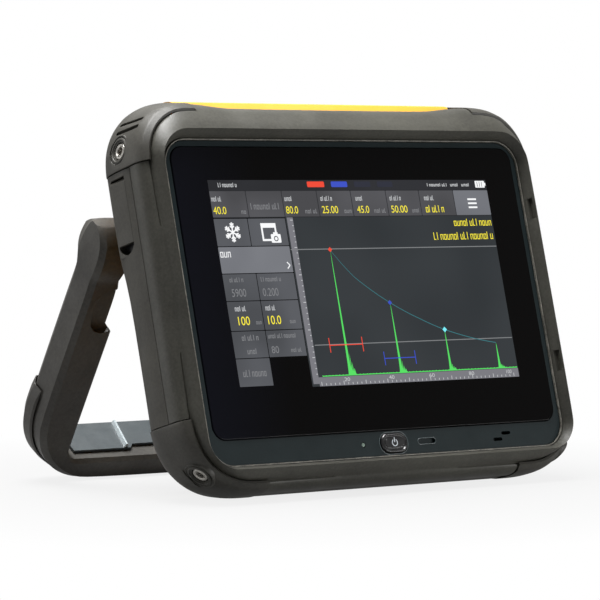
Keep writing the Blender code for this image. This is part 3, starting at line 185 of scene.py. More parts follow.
def edit_all(piece):
    """Opens a mesh in edit mode with all of it selected."""
    select_only(piece)
    bpy.ops.object.mode_set(mode="EDIT")
    bpy.ops.mesh.select_all(action="SELECT")


def edit_faces(piece, wanted):
    """Opens a mesh in face mode with just the faces selected that the test picks."""
    edit_all(piece)
    bpy.ops.mesh.select_mode(type="FACE")
    bpy.ops.mesh.select_all(action="DESELECT")
    bpy.ops.object.mode_set(mode="OBJECT")
    for face in piece.data.polygons:
        face.select = wanted(face)
    bpy.ops.object.mode_set(mode="EDIT")


def leave_edit():
    bpy.ops.object.mode_set(mode="OBJECT")


def dress(piece, material, body="case"):
    """Gives a piece its material and its body."""
    piece.data.materials.clear()
    piece.data.materials.append(material)
    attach(piece, body)


# %% [markdown]
# ## The camera
#
# The photograph was taken from the left, a little above the table, with a long lens about a metre and a
# half away, so the front shows in slight perspective. The camera stands where the photographer stood.

# %% Camera
camera_place = device.translation + Vector((-0.8847, -1.0961, 0.0451))
camera_aim = Vector((0.6114, 0.7904, -0.0378))
far_clip = 20.0
focal_length = 195.99
sensor_width = 36.0

bpy.ops.object.camera_add(location=camera_place)
camera = bpy.context.object
camera.name = "photo_camera"
camera.rotation_euler = camera_aim.to_track_quat("-Z", "Y").to_euler()
camera.data.sensor_width = sensor_width
camera.data.lens = focal_length
camera.data.clip_end = far_clip
bpy.context.scene.camera = camera
print("camera stands", round((camera_place - device.translation).length, 3), "m from the display")

# %% [markdown]
# ## Light
#
# Product photographs of dark rubber need large lights, because rubber shows its form by broad soft
# highlights. One wide light hangs over the top, and it does most of the work: it draws the bright upper
# edge. A weak one grazes the left side from behind and a low one fills the front from the right.

# %% Lights
def area_light(name, place, aim, width, height, power):
    """Adds a rectangular light at a place, turned to face a point."""
    bpy.ops.object.light_add(type="AREA", location=place)
    lamp = bpy.context.object
    lamp.name = name
    lamp.data.shape = "RECTANGLE"
    lamp.data.size = width
    lamp.data.size_y = height
    lamp.data.energy = power
    toward = Vector(aim) - Vector(place)
    lamp.rotation_euler = toward.to_track_quat("-Z", "Y").to_euler()
    print(name, "watts:", power)


device_middle = (0.0, 0.0, 0.085)
area_light("top_softbox", (-0.12, 0.14, 1.1), device_middle, 0.75, 0.7, 35.0)
area_light("left_softbox", (-1.1, 1.15, 0.3), device_middle, 0.6, 0.5, 2.6)
area_light("front_softbox", (0.85, -1.2, 0.08), device_middle, 0.8, 0.14, 9.0)

# %% [markdown]
# ## The air and the white background
#
# The world and the floor are white for the camera and through glass, pale grey in metal and gloss, and much
# dimmer as light, so that the underside and the sides stay deep. The light path tells the kinds of ray
# apart and a few math nodes weigh them, for the world and for the floor alike.

# %% World
fill_strength = 0.03
seen_in_gloss = 0.3


def arithmetic(tree, operation, first):
    """A math node whose first input is linked. The second one is left to the caller."""
    node = tree.nodes.new("ShaderNodeMath")
    node.operation = operation
    tree.links.new(first, node.inputs[0])
    return node


def seen_rays(tree):
    """How white the background is: full for the camera and through glass, part in gloss, none as light."""
    path = tree.nodes.new("ShaderNodeLightPath")
    in_gloss = arithmetic(tree, "MULTIPLY", path.outputs["Is Glossy Ray"])
    in_gloss.inputs[1].default_value = seen_in_gloss
    total = path.outputs["Is Camera Ray"]
    for other in (path.outputs["Is Transmission Ray"], in_gloss.outputs["Value"]):
        either = arithmetic(tree, "MAXIMUM", total)
        tree.links.new(other, either.inputs[1])
        total = either.outputs["Value"]
    return total


world = bpy.data.worlds.new("studio_air")
world.use_nodes = True
bpy.context.scene.world = world
air = world.node_tree
air.nodes.clear()
fill_light = air.nodes.new("ShaderNodeBackground")
fill_light.inputs["Color"].default_value = (0.92, 0.95, 1.0, 1.0)
fill_light.inputs["Strength"].default_value = fill_strength
white_back = air.nodes.new("ShaderNodeBackground")
white_back.inputs["Color"].default_value = (1.0, 1.0, 1.0, 1.0)
white_back.inputs["Strength"].default_value = 1.0
choose = air.nodes.new("ShaderNodeMixShader")
output = air.nodes.new("ShaderNodeOutputWorld")
air.links.new(seen_rays(air), choose.inputs["Fac"])
air.links.new(fill_light.outputs["Background"], choose.inputs[1])
air.links.new(white_back.outputs["Background"], choose.inputs[2])
air.links.new(choose.outputs["Shader"], output.inputs["Surface"])
print("world nodes:", len(air.nodes))

# %% [markdown]
# ## The floor
#
# The floor glows white where it is seen. The white fades a little towards the device, so that the device
# stands on a soft grey shadow.

# %% Floor
floor_size = 8.0
floor_drop = 0.5 * mm
floor_grey = 0.2
shade_near, shade_far = 0.05, 0.28
least_white = 0.8

bpy.ops.mesh.primitive_plane_add(size=floor_size, location=(0.0, 0.0, -floor_drop))
floor = bpy.context.object
floor.name = "studio_floor"
floor_finish = bpy.data.materials.new("floor_paper")
floor_finish.use_nodes = True
paper = floor_finish.node_tree
paper_shader = paper.nodes["Principled BSDF"]
paper_shader.inputs["Base Color"].default_value = (floor_grey, floor_grey, floor_grey, 1.0)
paper_shader.inputs["Roughness"].default_value = 0.9
paper_glow = paper.nodes.new("ShaderNodeEmission")
paper_place = paper.nodes.new("ShaderNodeTexCoord")
paper_reach = paper.nodes.new("ShaderNodeVectorMath")
paper_reach.operation = "LENGTH"
paper_fade = paper.nodes.new("ShaderNodeMapRange")
paper_fade.inputs["From Min"].default_value = shade_near
paper_fade.inputs["From Max"].default_value = shade_far
paper_fade.inputs["To Min"].default_value = least_white
paper_mix = paper.nodes.new("ShaderNodeMixShader")
paper.links.new(paper_place.outputs["Object"], paper_reach.inputs[0])
paper.links.new(paper_reach.outputs["Value"], paper_fade.inputs["Value"])
paper_seen = arithmetic(paper, "MULTIPLY", paper_fade.outputs["Result"])
paper.links.new(seen_rays(paper), paper_seen.inputs[1])
paper.links.new(paper_seen.outputs["Value"], paper_mix.inputs["Fac"])
paper.links.new(paper_shader.outputs["BSDF"], paper_mix.inputs[1])
paper.links.new(paper_glow.outputs["Emission"], paper_mix.inputs[2])
paper.links.new(paper_mix.outputs["Shader"], paper.nodes["Material Output"].inputs["Surface"])
floor.data.materials.append(floor_finish)
floor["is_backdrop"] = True
bpy.context.scene.view_settings.view_transform = "Standard"
print("floor nodes:", len(paper.nodes))

# %% [markdown]
# ## How a moulded surface is mixed
#
# No moulded surface is one flat colour. A fine grain from the tool's texture breaks up the highlight, the
# colour drifts a little over centimetres and flecks at the grain, and handling polishes some patches. One
# builder mixes these from noise that reads the object's own coordinates. Each material below calls it with
# a dark and a light colour, a roughness and its own sizes in millimetres: the reach of a patch, the width
# of the grain and its depth. A uniform value is set on the shader itself.

# %% Colours, noise and ramps
noise_low, noise_high = 0.3, 0.7


def linear(red, green, blue):
    """A colour as it is picked from a picture, 0 to 255, as the linear value that shaders use."""
    def channel(value):
        value = value / 255
        if value <= 0.04045:
            return value / 12.92
        return ((value + 0.055) / 1.055) ** 2.4

    return (channel(red), channel(green), channel(blue), 1.0)


def noise(tree, place, grain, detail=3.0):
    """A noise texture whose blobs are about grain metres across."""
    texture = tree.nodes.new("ShaderNodeTexNoise")
    texture.inputs["Scale"].default_value = 1 / grain
    texture.inputs["Detail"].default_value = detail
    tree.links.new(place.outputs["Object"], texture.inputs["Vector"])
    return texture


def spread(tree, texture, low, high):
    """Stretches a noise to run between two values."""
    stretch = tree.nodes.new("ShaderNodeMapRange")
    stretch.inputs["From Min"].default_value = noise_low
    stretch.inputs["From Max"].default_value = noise_high
    stretch.inputs["To Min"].default_value = low
    stretch.inputs["To Max"].default_value = high
    tree.links.new(texture.outputs["Fac"], stretch.inputs["Value"])
    return stretch


def colour_ramp(tree, start, dark, end, light):
    """A ramp from a dark colour at start to a light one at end."""
    ramp = tree.nodes.new("ShaderNodeValToRGB")
    for element, position, colour in zip(ramp.color_ramp.elements, (start, end), (dark, light)):
        element.position = position
        element.color = colour
    return ramp


# %% A builder for moulded materials
drift_start, drift_end = 0.32, 0.68
fleck_share = 0.4
polish_reach = 0.05


def moulded(name, dark, light, roughness, patch, grain, depth, metallic=0.0, coat=0.0, sheen=0.5):
    """A moulded or cast surface: colour drift over patch, bump of this grain and depth."""
    patch, grain, depth = patch * mm, grain * mm, depth * mm
    material = bpy.data.materials.new(name)
    material.use_nodes = True
    tree = material.node_tree
    shader = tree.nodes["Principled BSDF"]
    shader.inputs["Metallic"].default_value = metallic
    shader.inputs["Coat Weight"].default_value = coat
    shader.inputs["Specular IOR Level"].default_value = sheen
    place = tree.nodes.new("ShaderNodeTexCoord")
    drift = noise(tree, place, patch, detail=4.0)
    ramp = colour_ramp(tree, drift_start, linear(*dark), drift_end, linear(*light))
    fleck = tree.nodes.new("ShaderNodeMix")
    fleck.inputs["Factor"].default_value = fleck_share
    tree.links.new(drift.outputs["Fac"], fleck.inputs["A"])
    tree.links.new(noise(tree, place, 2 * grain, detail=2.0).outputs["Fac"], fleck.inputs["B"])
    tree.links.new(fleck.outputs["Result"], ramp.inputs["Fac"])
    tree.links.new(ramp.outputs["Color"], shader.inputs["Base Color"])
    touched = noise(tree, place, patch / 3)
    polish = spread(tree, touched, roughness - polish_reach, roughness + polish_reach)
    tree.links.new(polish.outputs["Result"], shader.inputs["Roughness"])
    texture = noise(tree, place, grain, detail=2.0)
    bump = tree.nodes.new("ShaderNodeBump")
    bump.inputs["Strength"].default_value = 1.0
    bump.inputs["Distance"].default_value = depth
    tree.links.new(texture.outputs["Fac"], bump.inputs["Height"])
    tree.links.new(bump.outputs["Normal"], shader.inputs["Normal"])
    print(name, "is mixed")
    return material


# %% [markdown]
# ## Rubber
#
# The frame, the guards, the bands and the handle are soft dark rubber over the hard shell. It is warm
# dark grey, and its satin bloom comes from a fine eroded tool texture. The screen frame is the smoothest
# of them, and the guards and bands are a touch darker and duller.

# %% Rubbers
frame_rubber = moulded("frame_rubber", (54, 53, 48), (78, 77, 70), 0.46, 30, 0.6, 0.03, sheen=0.35)
guard_rubber = moulded("guard_rubber_finish", (50, 49, 45), (73, 71, 65), 0.5, 22, 0.6, 0.035, sheen=0.35)
band_rubber = moulded("band_rubber_finish", (51, 49, 45), (74, 72, 65), 0.52, 26, 0.6, 0.035, sheen=0.35)
handle_rubber = moulded("handle_rubber_finish", (48, 46, 43), (71, 69, 64), 0.5, 24, 0.7, 0.035, sheen=0.35)

# %% [markdown]
# ## Hard plastics
#
# The housing is a yellow polycarbonate blend with a fine satin texture, the panel under the glass is a
# blue-black one, and the handle's insert is a hard grey strip with a satin face.

# %% Plastics
housing_yellow = moulded("housing_yellow", (216, 158, 44), (224, 166, 54), 0.46, 35, 0.7, 0.014)
panel_teal = moulded("panel_teal", (21, 31, 33), (26, 37, 39), 0.4, 18, 0.35, 0.008, sheen=0.15)
black_plastic = moulded("black_plastic_finish", (24, 24, 25), (31, 31, 32), 0.45, 15, 0.4, 0.012)
button_gloss = moulded("button_gloss", (14, 14, 15), (20, 20, 22), 0.22, 9, 0.3, 0.004, coat=0.4)
insert_grey = moulded("insert_grey_finish", (52, 59, 62), (63, 70, 73), 0.42, 12, 0.4, 0.01)
cover_black = moulded("cover_black", (34, 34, 34), (42, 42, 41), 0.5, 20, 0.5, 0.02)
light_diffuser = moulded("light_diffuser", (120, 140, 128), (140, 160, 148), 0.3, 4, 0.3, 0.004)
acetal_white = moulded("acetal_white", (205, 205, 198), (216, 216, 210), 0.35, 8, 0.3, 0.004)
board_green = moulded("board_green_finish", (24, 84, 60), (30, 96, 70), 0.4, 12, 0.5, 0.006)

# %% [markdown]
# ## Metals
#
# The threaded inserts and the screws are stainless steel with a fine grain, and the probe sockets are
# nickel plated. The chassis inside is a plain casting.

# %% Metals
steel = moulded("steel_finish", (176, 173, 166), (196, 193, 187), 0.3, 3, 0.2, 0.004, metallic=1.0)
nickel = moulded("nickel_finish", (186, 181, 170), (204, 199, 188), 0.24, 4, 0.2, 0.003, metallic=1.0)
cast_metal = moulded(
    "cast_metal_finish", (120, 122, 124), (138, 140, 142), 0.5, 10, 0.5, 0.02, metallic=1.0
)

# %% [markdown]
# ## The cover glass
#
# The cover glass is printed black from behind, so it reads as a deep black sheet with a sharp sheen. A
# faint blue reflection of the room is painted into the colour of its left end. A smooth surface would
# look like plastic film, so broad wiping marks vary its roughness by a few hundredths.

# %% Glass
# Where the painted blue reflection of the room fades out, along x.
painted_blue_from, painted_blue_to = -94 * mm, -50 * mm
sheen_of_glass = 0.1


def black_glass():
    """Black glass with a painted blue reflection at its left end and wiping marks in its roughness."""
    material = bpy.data.materials.new("black_glass")
    material.use_nodes = True
    tree = material.node_tree
    shader = tree.nodes["Principled BSDF"]
    place = tree.nodes.new("ShaderNodeTexCoord")
    side = tree.nodes.new("ShaderNodeSeparateXYZ")
    tree.links.new(place.outputs["Object"], side.inputs["Vector"])
    ramp = tree.nodes.new("ShaderNodeMapRange")
    ramp.inputs["From Min"].default_value = painted_blue_from
    ramp.inputs["From Max"].default_value = painted_blue_to
    tree.links.new(side.outputs["X"], ramp.inputs["Value"])
    # The base colour is a painted blue reflection at the left end and plain black beyond it.
    painted_blue = tree.nodes.new("ShaderNodeMix")
    painted_blue.data_type = "RGBA"
    painted_blue.inputs["A"].default_value = linear(15, 16, 24)
    painted_blue.inputs["B"].default_value = linear(7, 6, 6)
    tree.links.new(ramp.outputs["Result"], painted_blue.inputs["Factor"])
    tree.links.new(painted_blue.outputs["Result"], shader.inputs["Base Color"])
    wipes = spread(tree, noise(tree, place, 25 * mm), 0.05, 0.1)
    tree.links.new(wipes.outputs["Result"], shader.inputs["Roughness"])
    shader.inputs["Specular IOR Level"].default_value = sheen_of_glass
    return material


glass_black = black_glass()
print("materials so far:", len(bpy.data.materials))

# %% [markdown]
# ## From CAD node to finished piece
#
# A CAD node comes as triangles with hard edges. A finished piece starts as a copy of it whose split points
# are merged, and then a finish for its kind of shape follows.
#
# - A prismatic part, such as a cover, has its flat faces made whole again and its sharp edges rounded by
#   a Bevel of a few tenths, as every moulding or turned part has.
# - A part with swept arcs has its triangles turned back into quads and is subdivided as well, so that its
#   arcs become round. Its sharp edges are creased first, because a subdivision would melt them away.
# - The power button and the screws are prismatic too, and get their dish or their socket before the Bevel.
# - A part whose edges have to stay sharp is shaded and nothing more.
#
# A narrow rounding beside a wide flat face bends the shading of the whole face. A Weighted Normal
# modifier gives the wide faces their say, so that they read as flat.

# %% Copy and clean
merge_distance = 0.01 * mm
flat_angle = radians(0.3)
smooth_levels = 2


def copy_node(node):
    """A merged copy of a CAD node's mesh."""
    name = node + "_finished"
    piece = bpy.data.objects.new(name, frame["nodes"][node].data.copy())
    piece.data.name = name
    piece.data.materials.clear()
    bpy.context.scene.collection.objects.link(piece)
    edit_all(piece)
    bpy.ops.mesh.customdata_custom_splitnormals_clear()
    bpy.ops.mesh.remove_doubles(threshold=merge_distance)
    leave_edit()
    return piece


def flat_copy(node):
    """A merged copy whose flat faces are whole again."""
    piece = copy_node(node)
    edit_all(piece)
    bpy.ops.mesh.dissolve_limited(angle_limit=flat_angle)
    leave_edit()
    return piece


def quads(piece):
    """Joins pairs of triangles that lie nearly flat to each other."""
    edit_all(piece)
    bpy.ops.mesh.tris_convert_to_quads(face_threshold=radians(40), shape_threshold=radians(80))
    leave_edit()


def crease_sharp(piece, sharpness):
    """Creases the edges that turn by more than an angle, so that a subdivision keeps them."""
    select_only(piece)
    bpy.ops.object.mode_set(mode="EDIT")
    bpy.ops.mesh.select_mode(type="EDGE")
    bpy.ops.mesh.select_all(action="DESELECT")
    bpy.ops.mesh.edges_select_sharp(sharpness=radians(sharpness))
    bpy.ops.transform.edge_crease(value=1.0)
    leave_edit()


def round_edges(piece, width):
    """Rounds the sharp edges and lets the wide faces lead the shading."""
    bevel = piece.modifiers.new("round_edges", "BEVEL")
    bevel.width = width
    bevel.segments = 2
    bevel.limit_method = "ANGLE"
    bevel.angle_limit = radians(30)
    bevel.use_clamp_overlap = True
    apply_modifiers(piece)
    shade_by_angle(piece)
    even = piece.modifiers.new("even_shading", "WEIGHTED_NORMAL")
    even.keep_sharp = True
    apply_modifiers(piece)


# %% Finishes for whole shapes
def prismatic(node, width):
    """The finish for prismatic parts: clean faces and rounded edges."""
    piece = flat_copy(node)
    round_edges(piece, width)
    return piece


def swept(node, width, sharpness=26):
    """The finish for parts with swept arcs: creased, subdivided, then rounded."""
    piece = copy_node(node)
    quads(piece)
    crease_sharp(piece, sharpness)
    smooth = piece.modifiers.new("smooth", "SUBSURF")
    smooth.levels = smooth_levels
    smooth.render_levels = smooth_levels
    apply_modifiers(piece)
    round_edges(piece, width)
    return piece


def rounded_sweep(node, width):
    """The finish for a full, soft sweep: only its hard corners are creased."""
    return swept(node, width, sharpness=48)


def crisp(node, width):
    """The finish for a part whose edges stay sharp, so it needs no width."""
    piece = copy_node(node)
    shade_by_angle(piece)
    return piece


# %% Finishes with a dish or a socket
def dished_button(node, width):
    """A push button: a rim, a dished ring that a fingertip finds, and the raised face inside it."""
    piece = flat_copy(node)
    front = min(press.dot(face.center) for face in piece.data.polygons)
    edit_faces(piece, lambda face: press.dot(face.center) < front + 0.05 * mm)
    for thickness, depth in [(0.35, 0.0), (0.5, -0.55), (0.75, 0.0), (0.2, 0.45)]:
        bpy.ops.mesh.inset(thickness=thickness * mm, depth=depth * mm)
    leave_edit()
    round_edges(piece, width)
    return piece


def socket_screw(node, width):
    """A cap screw: the head gets a socket for its key, sunk with an inset and an extrusion."""
    piece = flat_copy(node)
    top = max(press.dot(face.center) for face in piece.data.polygons)
    edit_faces(piece, lambda face: press.dot(face.center) > top - 0.05 * mm)
    bpy.ops.mesh.inset(thickness=1.3 * mm)
    bpy.ops.mesh.extrude_region_move(TRANSFORM_OT_translate={"value": press * -1.1 * mm})
    leave_edit()
    round_edges(piece, width)
    return piece


# %% [markdown]
# ## Dress the case
#
# Each row names the nodes, how they are finished, how far their edges are rounded and what they are made
# of. The rubber mouldings have the widest edges, about half a millimetre, and the screws the smallest. The
# handle's insert stays crisp: its ribs end right on its edge, where a bevel would fold its wide face over.

# %% Finish every node that shows
corners = ["top_left", "top_right", "bottom_left", "bottom_right"]
sides = ["left", "right"]
finishes = [
    (["front_bumper"], rounded_sweep, 0.5 * mm, frame_rubber),
    (["corner_guard_" + corner for corner in corners], swept, 0.35 * mm, guard_rubber),
    (["side_band_" + side for side in sides], swept, 0.35 * mm, band_rubber),
    (["bottom_band"], prismatic, 0.35 * mm, band_rubber),
    (["rear_housing"], swept, 0.4 * mm, housing_yellow),
    (["port_door"], prismatic, 0.35 * mm, band_rubber),
    (["front_panel"], prismatic, 0.2 * mm, panel_teal),
    (["touch_glass"], prismatic, 0.15 * mm, glass_black),
    (["power_button"], dished_button, 0.1 * mm, button_gloss),
    (["status_light"], prismatic, 0.1 * mm, light_diffuser),
    (["socket_plate", "port_block"], prismatic, 0.2 * mm, black_plastic),
    (["probe_socket_1", "probe_socket_2"], prismatic, 0.15 * mm, nickel),
    (["battery_cover"], prismatic, 0.3 * mm, cover_black),
    (["tilt_handle"], swept, 0.5 * mm, handle_rubber),
    (["handle_insert"], crisp, 0.0, insert_grey),
    (["foot_pad_" + side for side in sides], swept, 0.4 * mm, handle_rubber),
    (["pivot_pin_" + side for side in sides], prismatic, 0.2 * mm, steel),
    (["friction_washer_" + side for side in sides], prismatic, 0.1 * mm, acetal_white),
    (["thread_insert_" + corner for corner in corners], prismatic, 0.1 * mm, steel),
    ([f"housing_screw_{number}" for number in range(1, 7)], socket_screw, 0.1 * mm, steel),
    ([f"cover_screw_{number}" for number in range(1, 5)], socket_screw, 0.1 * mm, steel),
    (["door_hinge_pin"], prismatic, 0.1 * mm, steel),
]
for nodes, finish, width, material in finishes:
    for node in nodes:
        piece = finish(node, width)
        dress(piece, material, body_of_node[node])
        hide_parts(node)
        print(node, "faces:", len(piece.data.polygons))

# %% [markdown]
# ## The insert's ribs
#
# The two slanted ribs on the handle's insert shine brightly. The faces that stand above the insert's
# plate get a smoother finish of their own, whose pale grey is a painted highlight.

# %% Painted highlight on the ribs
# This pale grey stands in for the ribs' highlight: a painted highlight.
rib_highlight_grey = moulded("rib_highlight_grey", (150, 160, 164), (176, 184, 187), 0.28, 3, 0.2, 0.003)
least_rise = 0.1 * mm
insert = bpy.data.objects["handle_insert_finished"]
insert.data.materials.append(rib_highlight_grey)
plate_top = max((face for face in insert.data.polygons if face.normal.z > 0.5), key=lambda face: face.area)
plate_normal = plate_top.normal.copy()
plate_height = plate_normal.dot(plate_top.center)
for face in insert.data.polygons:
    if plate_normal.dot(face.center) > plate_height + least_rise:
        face.material_index = 1
print("rubbed faces:", sum(face.material_index for face in insert.data.polygons))

# %% [markdown]
# ## The marks round the power button
#
# The button's symbol is a printed ring with a stroke through its gap. It is cut from a disc: an inset
# leaves the ring, the faces at the top come out for the gap, and an extrusion gives it the thickness of
# ink. The button and the slot beside it each have a thin raised edge round them, in a pale teal that
# paints the highlight their edges catch.

# %% Power symbol
symbol_reach = 1.6 * mm
symbol_bar = 0.42 * mm
symbol_gap = radians(33)
ink = 0.04 * mm
strip_height = -71.1 * mm
button_rise = 0.3 * mm
stroke_middle = symbol_reach * 0.8
stroke_length = symbol_reach * 1.3


def thicken(piece, rise):
    """Turns a flat sheet into a plate."""
    edit_all(piece)
    bpy.ops.mesh.extrude_region_move(TRANSFORM_OT_translate={"value": (0, 0, rise)})
    bpy.ops.mesh.select_all(action="SELECT")
    bpy.ops.mesh.normals_make_consistent(inside=False)
    leave_edit()


bpy.ops.mesh.primitive_circle_add(
    vertices=60, radius=symbol_reach, fill_type="NGON", location=(0.0, strip_height, button_rise)
)
power_ring = bpy.context.object
edit_all(power_ring)
bpy.ops.mesh.inset(thickness=symbol_bar)
bpy.ops.mesh.delete(type="FACE")
edit_faces(power_ring, lambda face: abs(atan2(face.center.x, face.center.y)) < symbol_gap)
bpy.ops.mesh.delete(type="FACE")
leave_edit()
bpy.ops.mesh.primitive_plane_add(size=1.0, location=(0.0, strip_height + stroke_middle, button_rise))
power_stroke = bpy.context.object
power_stroke.scale = (symbol_bar, stroke_length, 1.0)
select_only(power_stroke)
bpy.ops.object.transform_apply(location=False, rotation=False, scale=True)
power_symbol = join([power_ring, power_stroke], "power_symbol")
thicken(power_symbol, ink)
settle(power_symbol, screen)
symbol_ink = moulded("symbol_ink", (196, 204, 210), (214, 220, 224), 0.5, 1, 0.1, 0.002)
dress(power_symbol, symbol_ink, "button")
print("power symbol faces:", len(power_symbol.data.polygons))


# %% Rims
def raised_rim(name, place, half_length, half_height, corner, bar, rise):
    """A raised edge of width bar round a hole with round corners, standing on the height of place."""
    bpy.ops.mesh.primitive_plane_add(size=1.0, location=place)
    rim = bpy.context.object
    rim.scale = (2 * (half_length + bar), 2 * (half_height + bar), 1.0)
    bpy.ops.object.transform_apply(location=False, rotation=False, scale=True)
    edit_all(rim)
    bpy.ops.mesh.bevel(offset=corner + bar, segments=10, affect="VERTICES")
    bpy.ops.mesh.inset(thickness=bar)
    bpy.ops.mesh.delete(type="FACE")
    leave_edit()
    thicken(rim, rise)
    round_edges(rim, bar / 4)
    rim.name = name
    settle(rim, screen)
    print(name, "faces:", len(rim.data.polygons))
    return rim


# The rims' pale teal is a painted highlight. The panel itself is the dark teal.
panel_edge_highlight = moulded("panel_edge_highlight", (70, 82, 84), (84, 96, 98), 0.3, 6, 0.3, 0.004, coat=0.5)
strip_face = -0.5 * mm
rim_rise = 0.12 * mm
roundness = 0.98
for name, x, half_length, half_height, bar in [
    ("slot_rim", 18.4 * mm, 4.9 * mm, 1.2 * mm, 0.22 * mm),
    ("button_rim", 0.0, 7.65 * mm, 4.65 * mm, 0.3 * mm),
]:
    place = (x, strip_height, strip_face)
    rim = raised_rim(name, place, half_length, half_height, half_height * roundness, bar, rim_rise)
    dress(rim, panel_edge_highlight, "case")

# %% [markdown]
# ## The lip of the opening
#
# The rubber frame ends at the panel in a thin moulded lip. It stands free, so it catches the light along
# its whole length. Its pale patches are partly wear from cases and fingernails and partly a painted
# highlight along the lip. It is the same kind of rim as round the button, drawn round the panel with the
# panel's own measured size, in a rubber whose pale tones are both wear and painted highlight.

# %% Opening lip
panel_low, panel_high = flat_box("front_panel")
lip_gap = 0.3 * mm
lip_width = 0.5 * mm
lip_corner = 11.2 * mm
lip_foot = -0.7 * mm
lip_rise = 1.05 * mm
# The lip's light colour is part wear and part painted highlight.
lip_wear_and_highlight = moulded("lip_wear_and_highlight", (64, 62, 57), (150, 147, 138), 0.42, 5, 0.4, 0.02, sheen=0.35)
lip_place = (0.0, (panel_low.z + panel_high.z) / 2 - middle.z, lip_foot)
lip_half_length = (panel_high.x - panel_low.x) / 2 + lip_gap
lip_half_height = (panel_high.z - panel_low.z) / 2 + lip_gap
lip = raised_rim(
    "opening_lip", lip_place, lip_half_length, lip_half_height, lip_corner, lip_width, lip_rise
)
dress(lip, lip_wear_and_highlight, "case")

# %% [markdown]
# ## The scoop under the port door
#
# A fingertip reaches under the door's lower edge through a scoop with a round lower end. The CAD slot is
# square, so a rubber lining goes into it: a block that fills the slot, with an oval bore that leaves the
# round end, and a dark plate behind it.

# %% Where the scoop lies
openings = {opening["name"]: opening["box_m"] for opening in frame["record"]["physics"]["openings"]}
slot_box = openings["finger_slot"]
slot_middle = (Vector(slot_box[0]) + Vector(slot_box[1])) / 2
scoop = upright @ slot_middle
scoop_half_width = 5.8 * mm
scoop_half_height = 2.55 * mm
scoop_outer_x = -107.25 * mm
scoop_inner_x = -103.1 * mm
bore_half_height = scoop_half_height * 1.75
bore_half_width = scoop_half_width * 0.93
lining_top = scoop.z + scoop_half_height * 0.4
backing_top = scoop.z + scoop_half_height * 1.6
backing_thickness = 0.3 * mm
overlap = 0.05 * mm
print("middle of the finger slot in mm:", [round(value / mm, 1) for value in scoop])


# %% Finger scoop
def block(low, high, name):
    """A box between two corners, measured along the device's own directions."""
    bpy.ops.mesh.primitive_cube_add(size=1.0, location=(Vector(low) + Vector(high)) / 2)
    piece = bpy.context.object
    piece.scale = Vector(high) - Vector(low)
    piece.name = name
    bpy.ops.object.transform_apply(location=True, rotation=False, scale=True)
    return piece


lining = block(
    (scoop_outer_x, scoop.y - scoop_half_width, scoop.z - scoop_half_height - overlap),
    (scoop_inner_x, scoop.y + scoop_half_width, lining_top), "finger_scoop",
)
bpy.ops.mesh.primitive_cylinder_add(
    vertices=48, radius=1.0, depth=20 * mm, rotation=(0, pi / 2, 0),
    location=(scoop_outer_x, scoop.y, scoop.z + scoop_half_height),
)
bore = bpy.context.object
bore.scale = (bore_half_height, bore_half_width, 1.0)
hollow = lining.modifiers.new("hollow", "BOOLEAN")
hollow.operation = "DIFFERENCE"
hollow.solver = "EXACT"
hollow.object = bore
apply_modifiers(lining)
bpy.data.objects.remove(bore)
backing = block(
    (scoop_inner_x - backing_thickness, scoop.y - scoop_half_width, scoop.z - scoop_half_height),
    (scoop_inner_x, scoop.y + scoop_half_width, backing_top), "scoop_backing",
)
for piece, material in [(lining, band_rubber), (backing, black_plastic)]:
    round_edges(piece, 0.1 * mm)
    settle(piece, upright.inverted())
    dress(piece, material, "case")
    print(piece.name, "faces:", len(piece.data.polygons))

# %% [markdown]
# ## Contacts in the probe sockets
#
# A look into a coaxial probe socket shows a white insulator with a gilt contact in its middle. Both are
# turned round the socket's axis: a profile of a few points is spun through a full circle. Each is modelled
# once, on the x axis, and copied into the two sockets.

# %% Spin a profile
def spun(profile, name, steps=32):
    """A profile of (along x, radius) in millimetres, spun round the x axis."""
    mesh = bpy.data.meshes.new(name)
    points = [(along * mm, radius * mm, 0.0) for along, radius in profile]
    mesh.from_pydata(points, [(index, index + 1) for index in range(len(points) - 1)], [])
    piece = bpy.data.objects.new(name, mesh)
    bpy.context.scene.collection.objects.link(piece)
    edit_all(piece)
    bpy.ops.mesh.spin(steps=steps, angle=2 * pi, center=(0, 0, 0), axis=(1, 0, 0))
    bpy.ops.mesh.select_all(action="SELECT")
    bpy.ops.mesh.remove_doubles(threshold=0.002 * mm)
    bpy.ops.mesh.normals_make_consistent(inside=False)
    leave_edit()
    shade_by_angle(piece)
    return piece


# %% Socket contacts
bore_depth = 6.0 * mm
contact_profile = [(-1.2, 0.0), (-1.2, 0.75), (2.9, 0.75), (3.3, 0.45), (3.4, 0.0)]
insulator_profile = [(-1.0, 0.8), (-1.0, 2.9), (0.0, 2.9), (0.25, 2.6), (0.25, 1.3), (0.0, 1.0), (0.0, 0.8)]
gilt = moulded("gilt", (214, 176, 96), (226, 190, 112), 0.25, 2, 0.1, 0.001, metallic=1.0)
for profile, part_name, material, slot in [
    (contact_profile, "socket_contact", gilt, "nickel"),
    (insulator_profile, "socket_insulator", acetal_white, "acetal"),
]:
    master = spun(profile, part_name)
    for socket in (1, 2):
        low, high = flat_box(f"probe_socket_{socket}")
        floor_of_bore = Vector((high.x - bore_depth, (low.y + high.y) / 2, (low.z + high.z) / 2))
        place = upright.inverted() @ Matrix.Translation(floor_of_bore)
        dress(placed_copy(master, f"{part_name}_{socket}", place), material, "case")
    print(part_name, "faces:", len(master.data.polygons))
    bpy.data.objects.remove(master)

# %% [markdown]
# ## Threads of the inserts
#
# Each corner has a threaded insert for a harness screw. The thread is a stack of fine rings, which reads
# as a thread in a hole this small. One stack is made at the origin, and a copy goes into each insert,
# turned to the direction that the record gives for the mount.

# %% Thread rings
thread_spacing = 0.595 * mm
thread_turns = 4
mounts = {mount["name"]: mount for mount in frame["record"]["mounts"]}


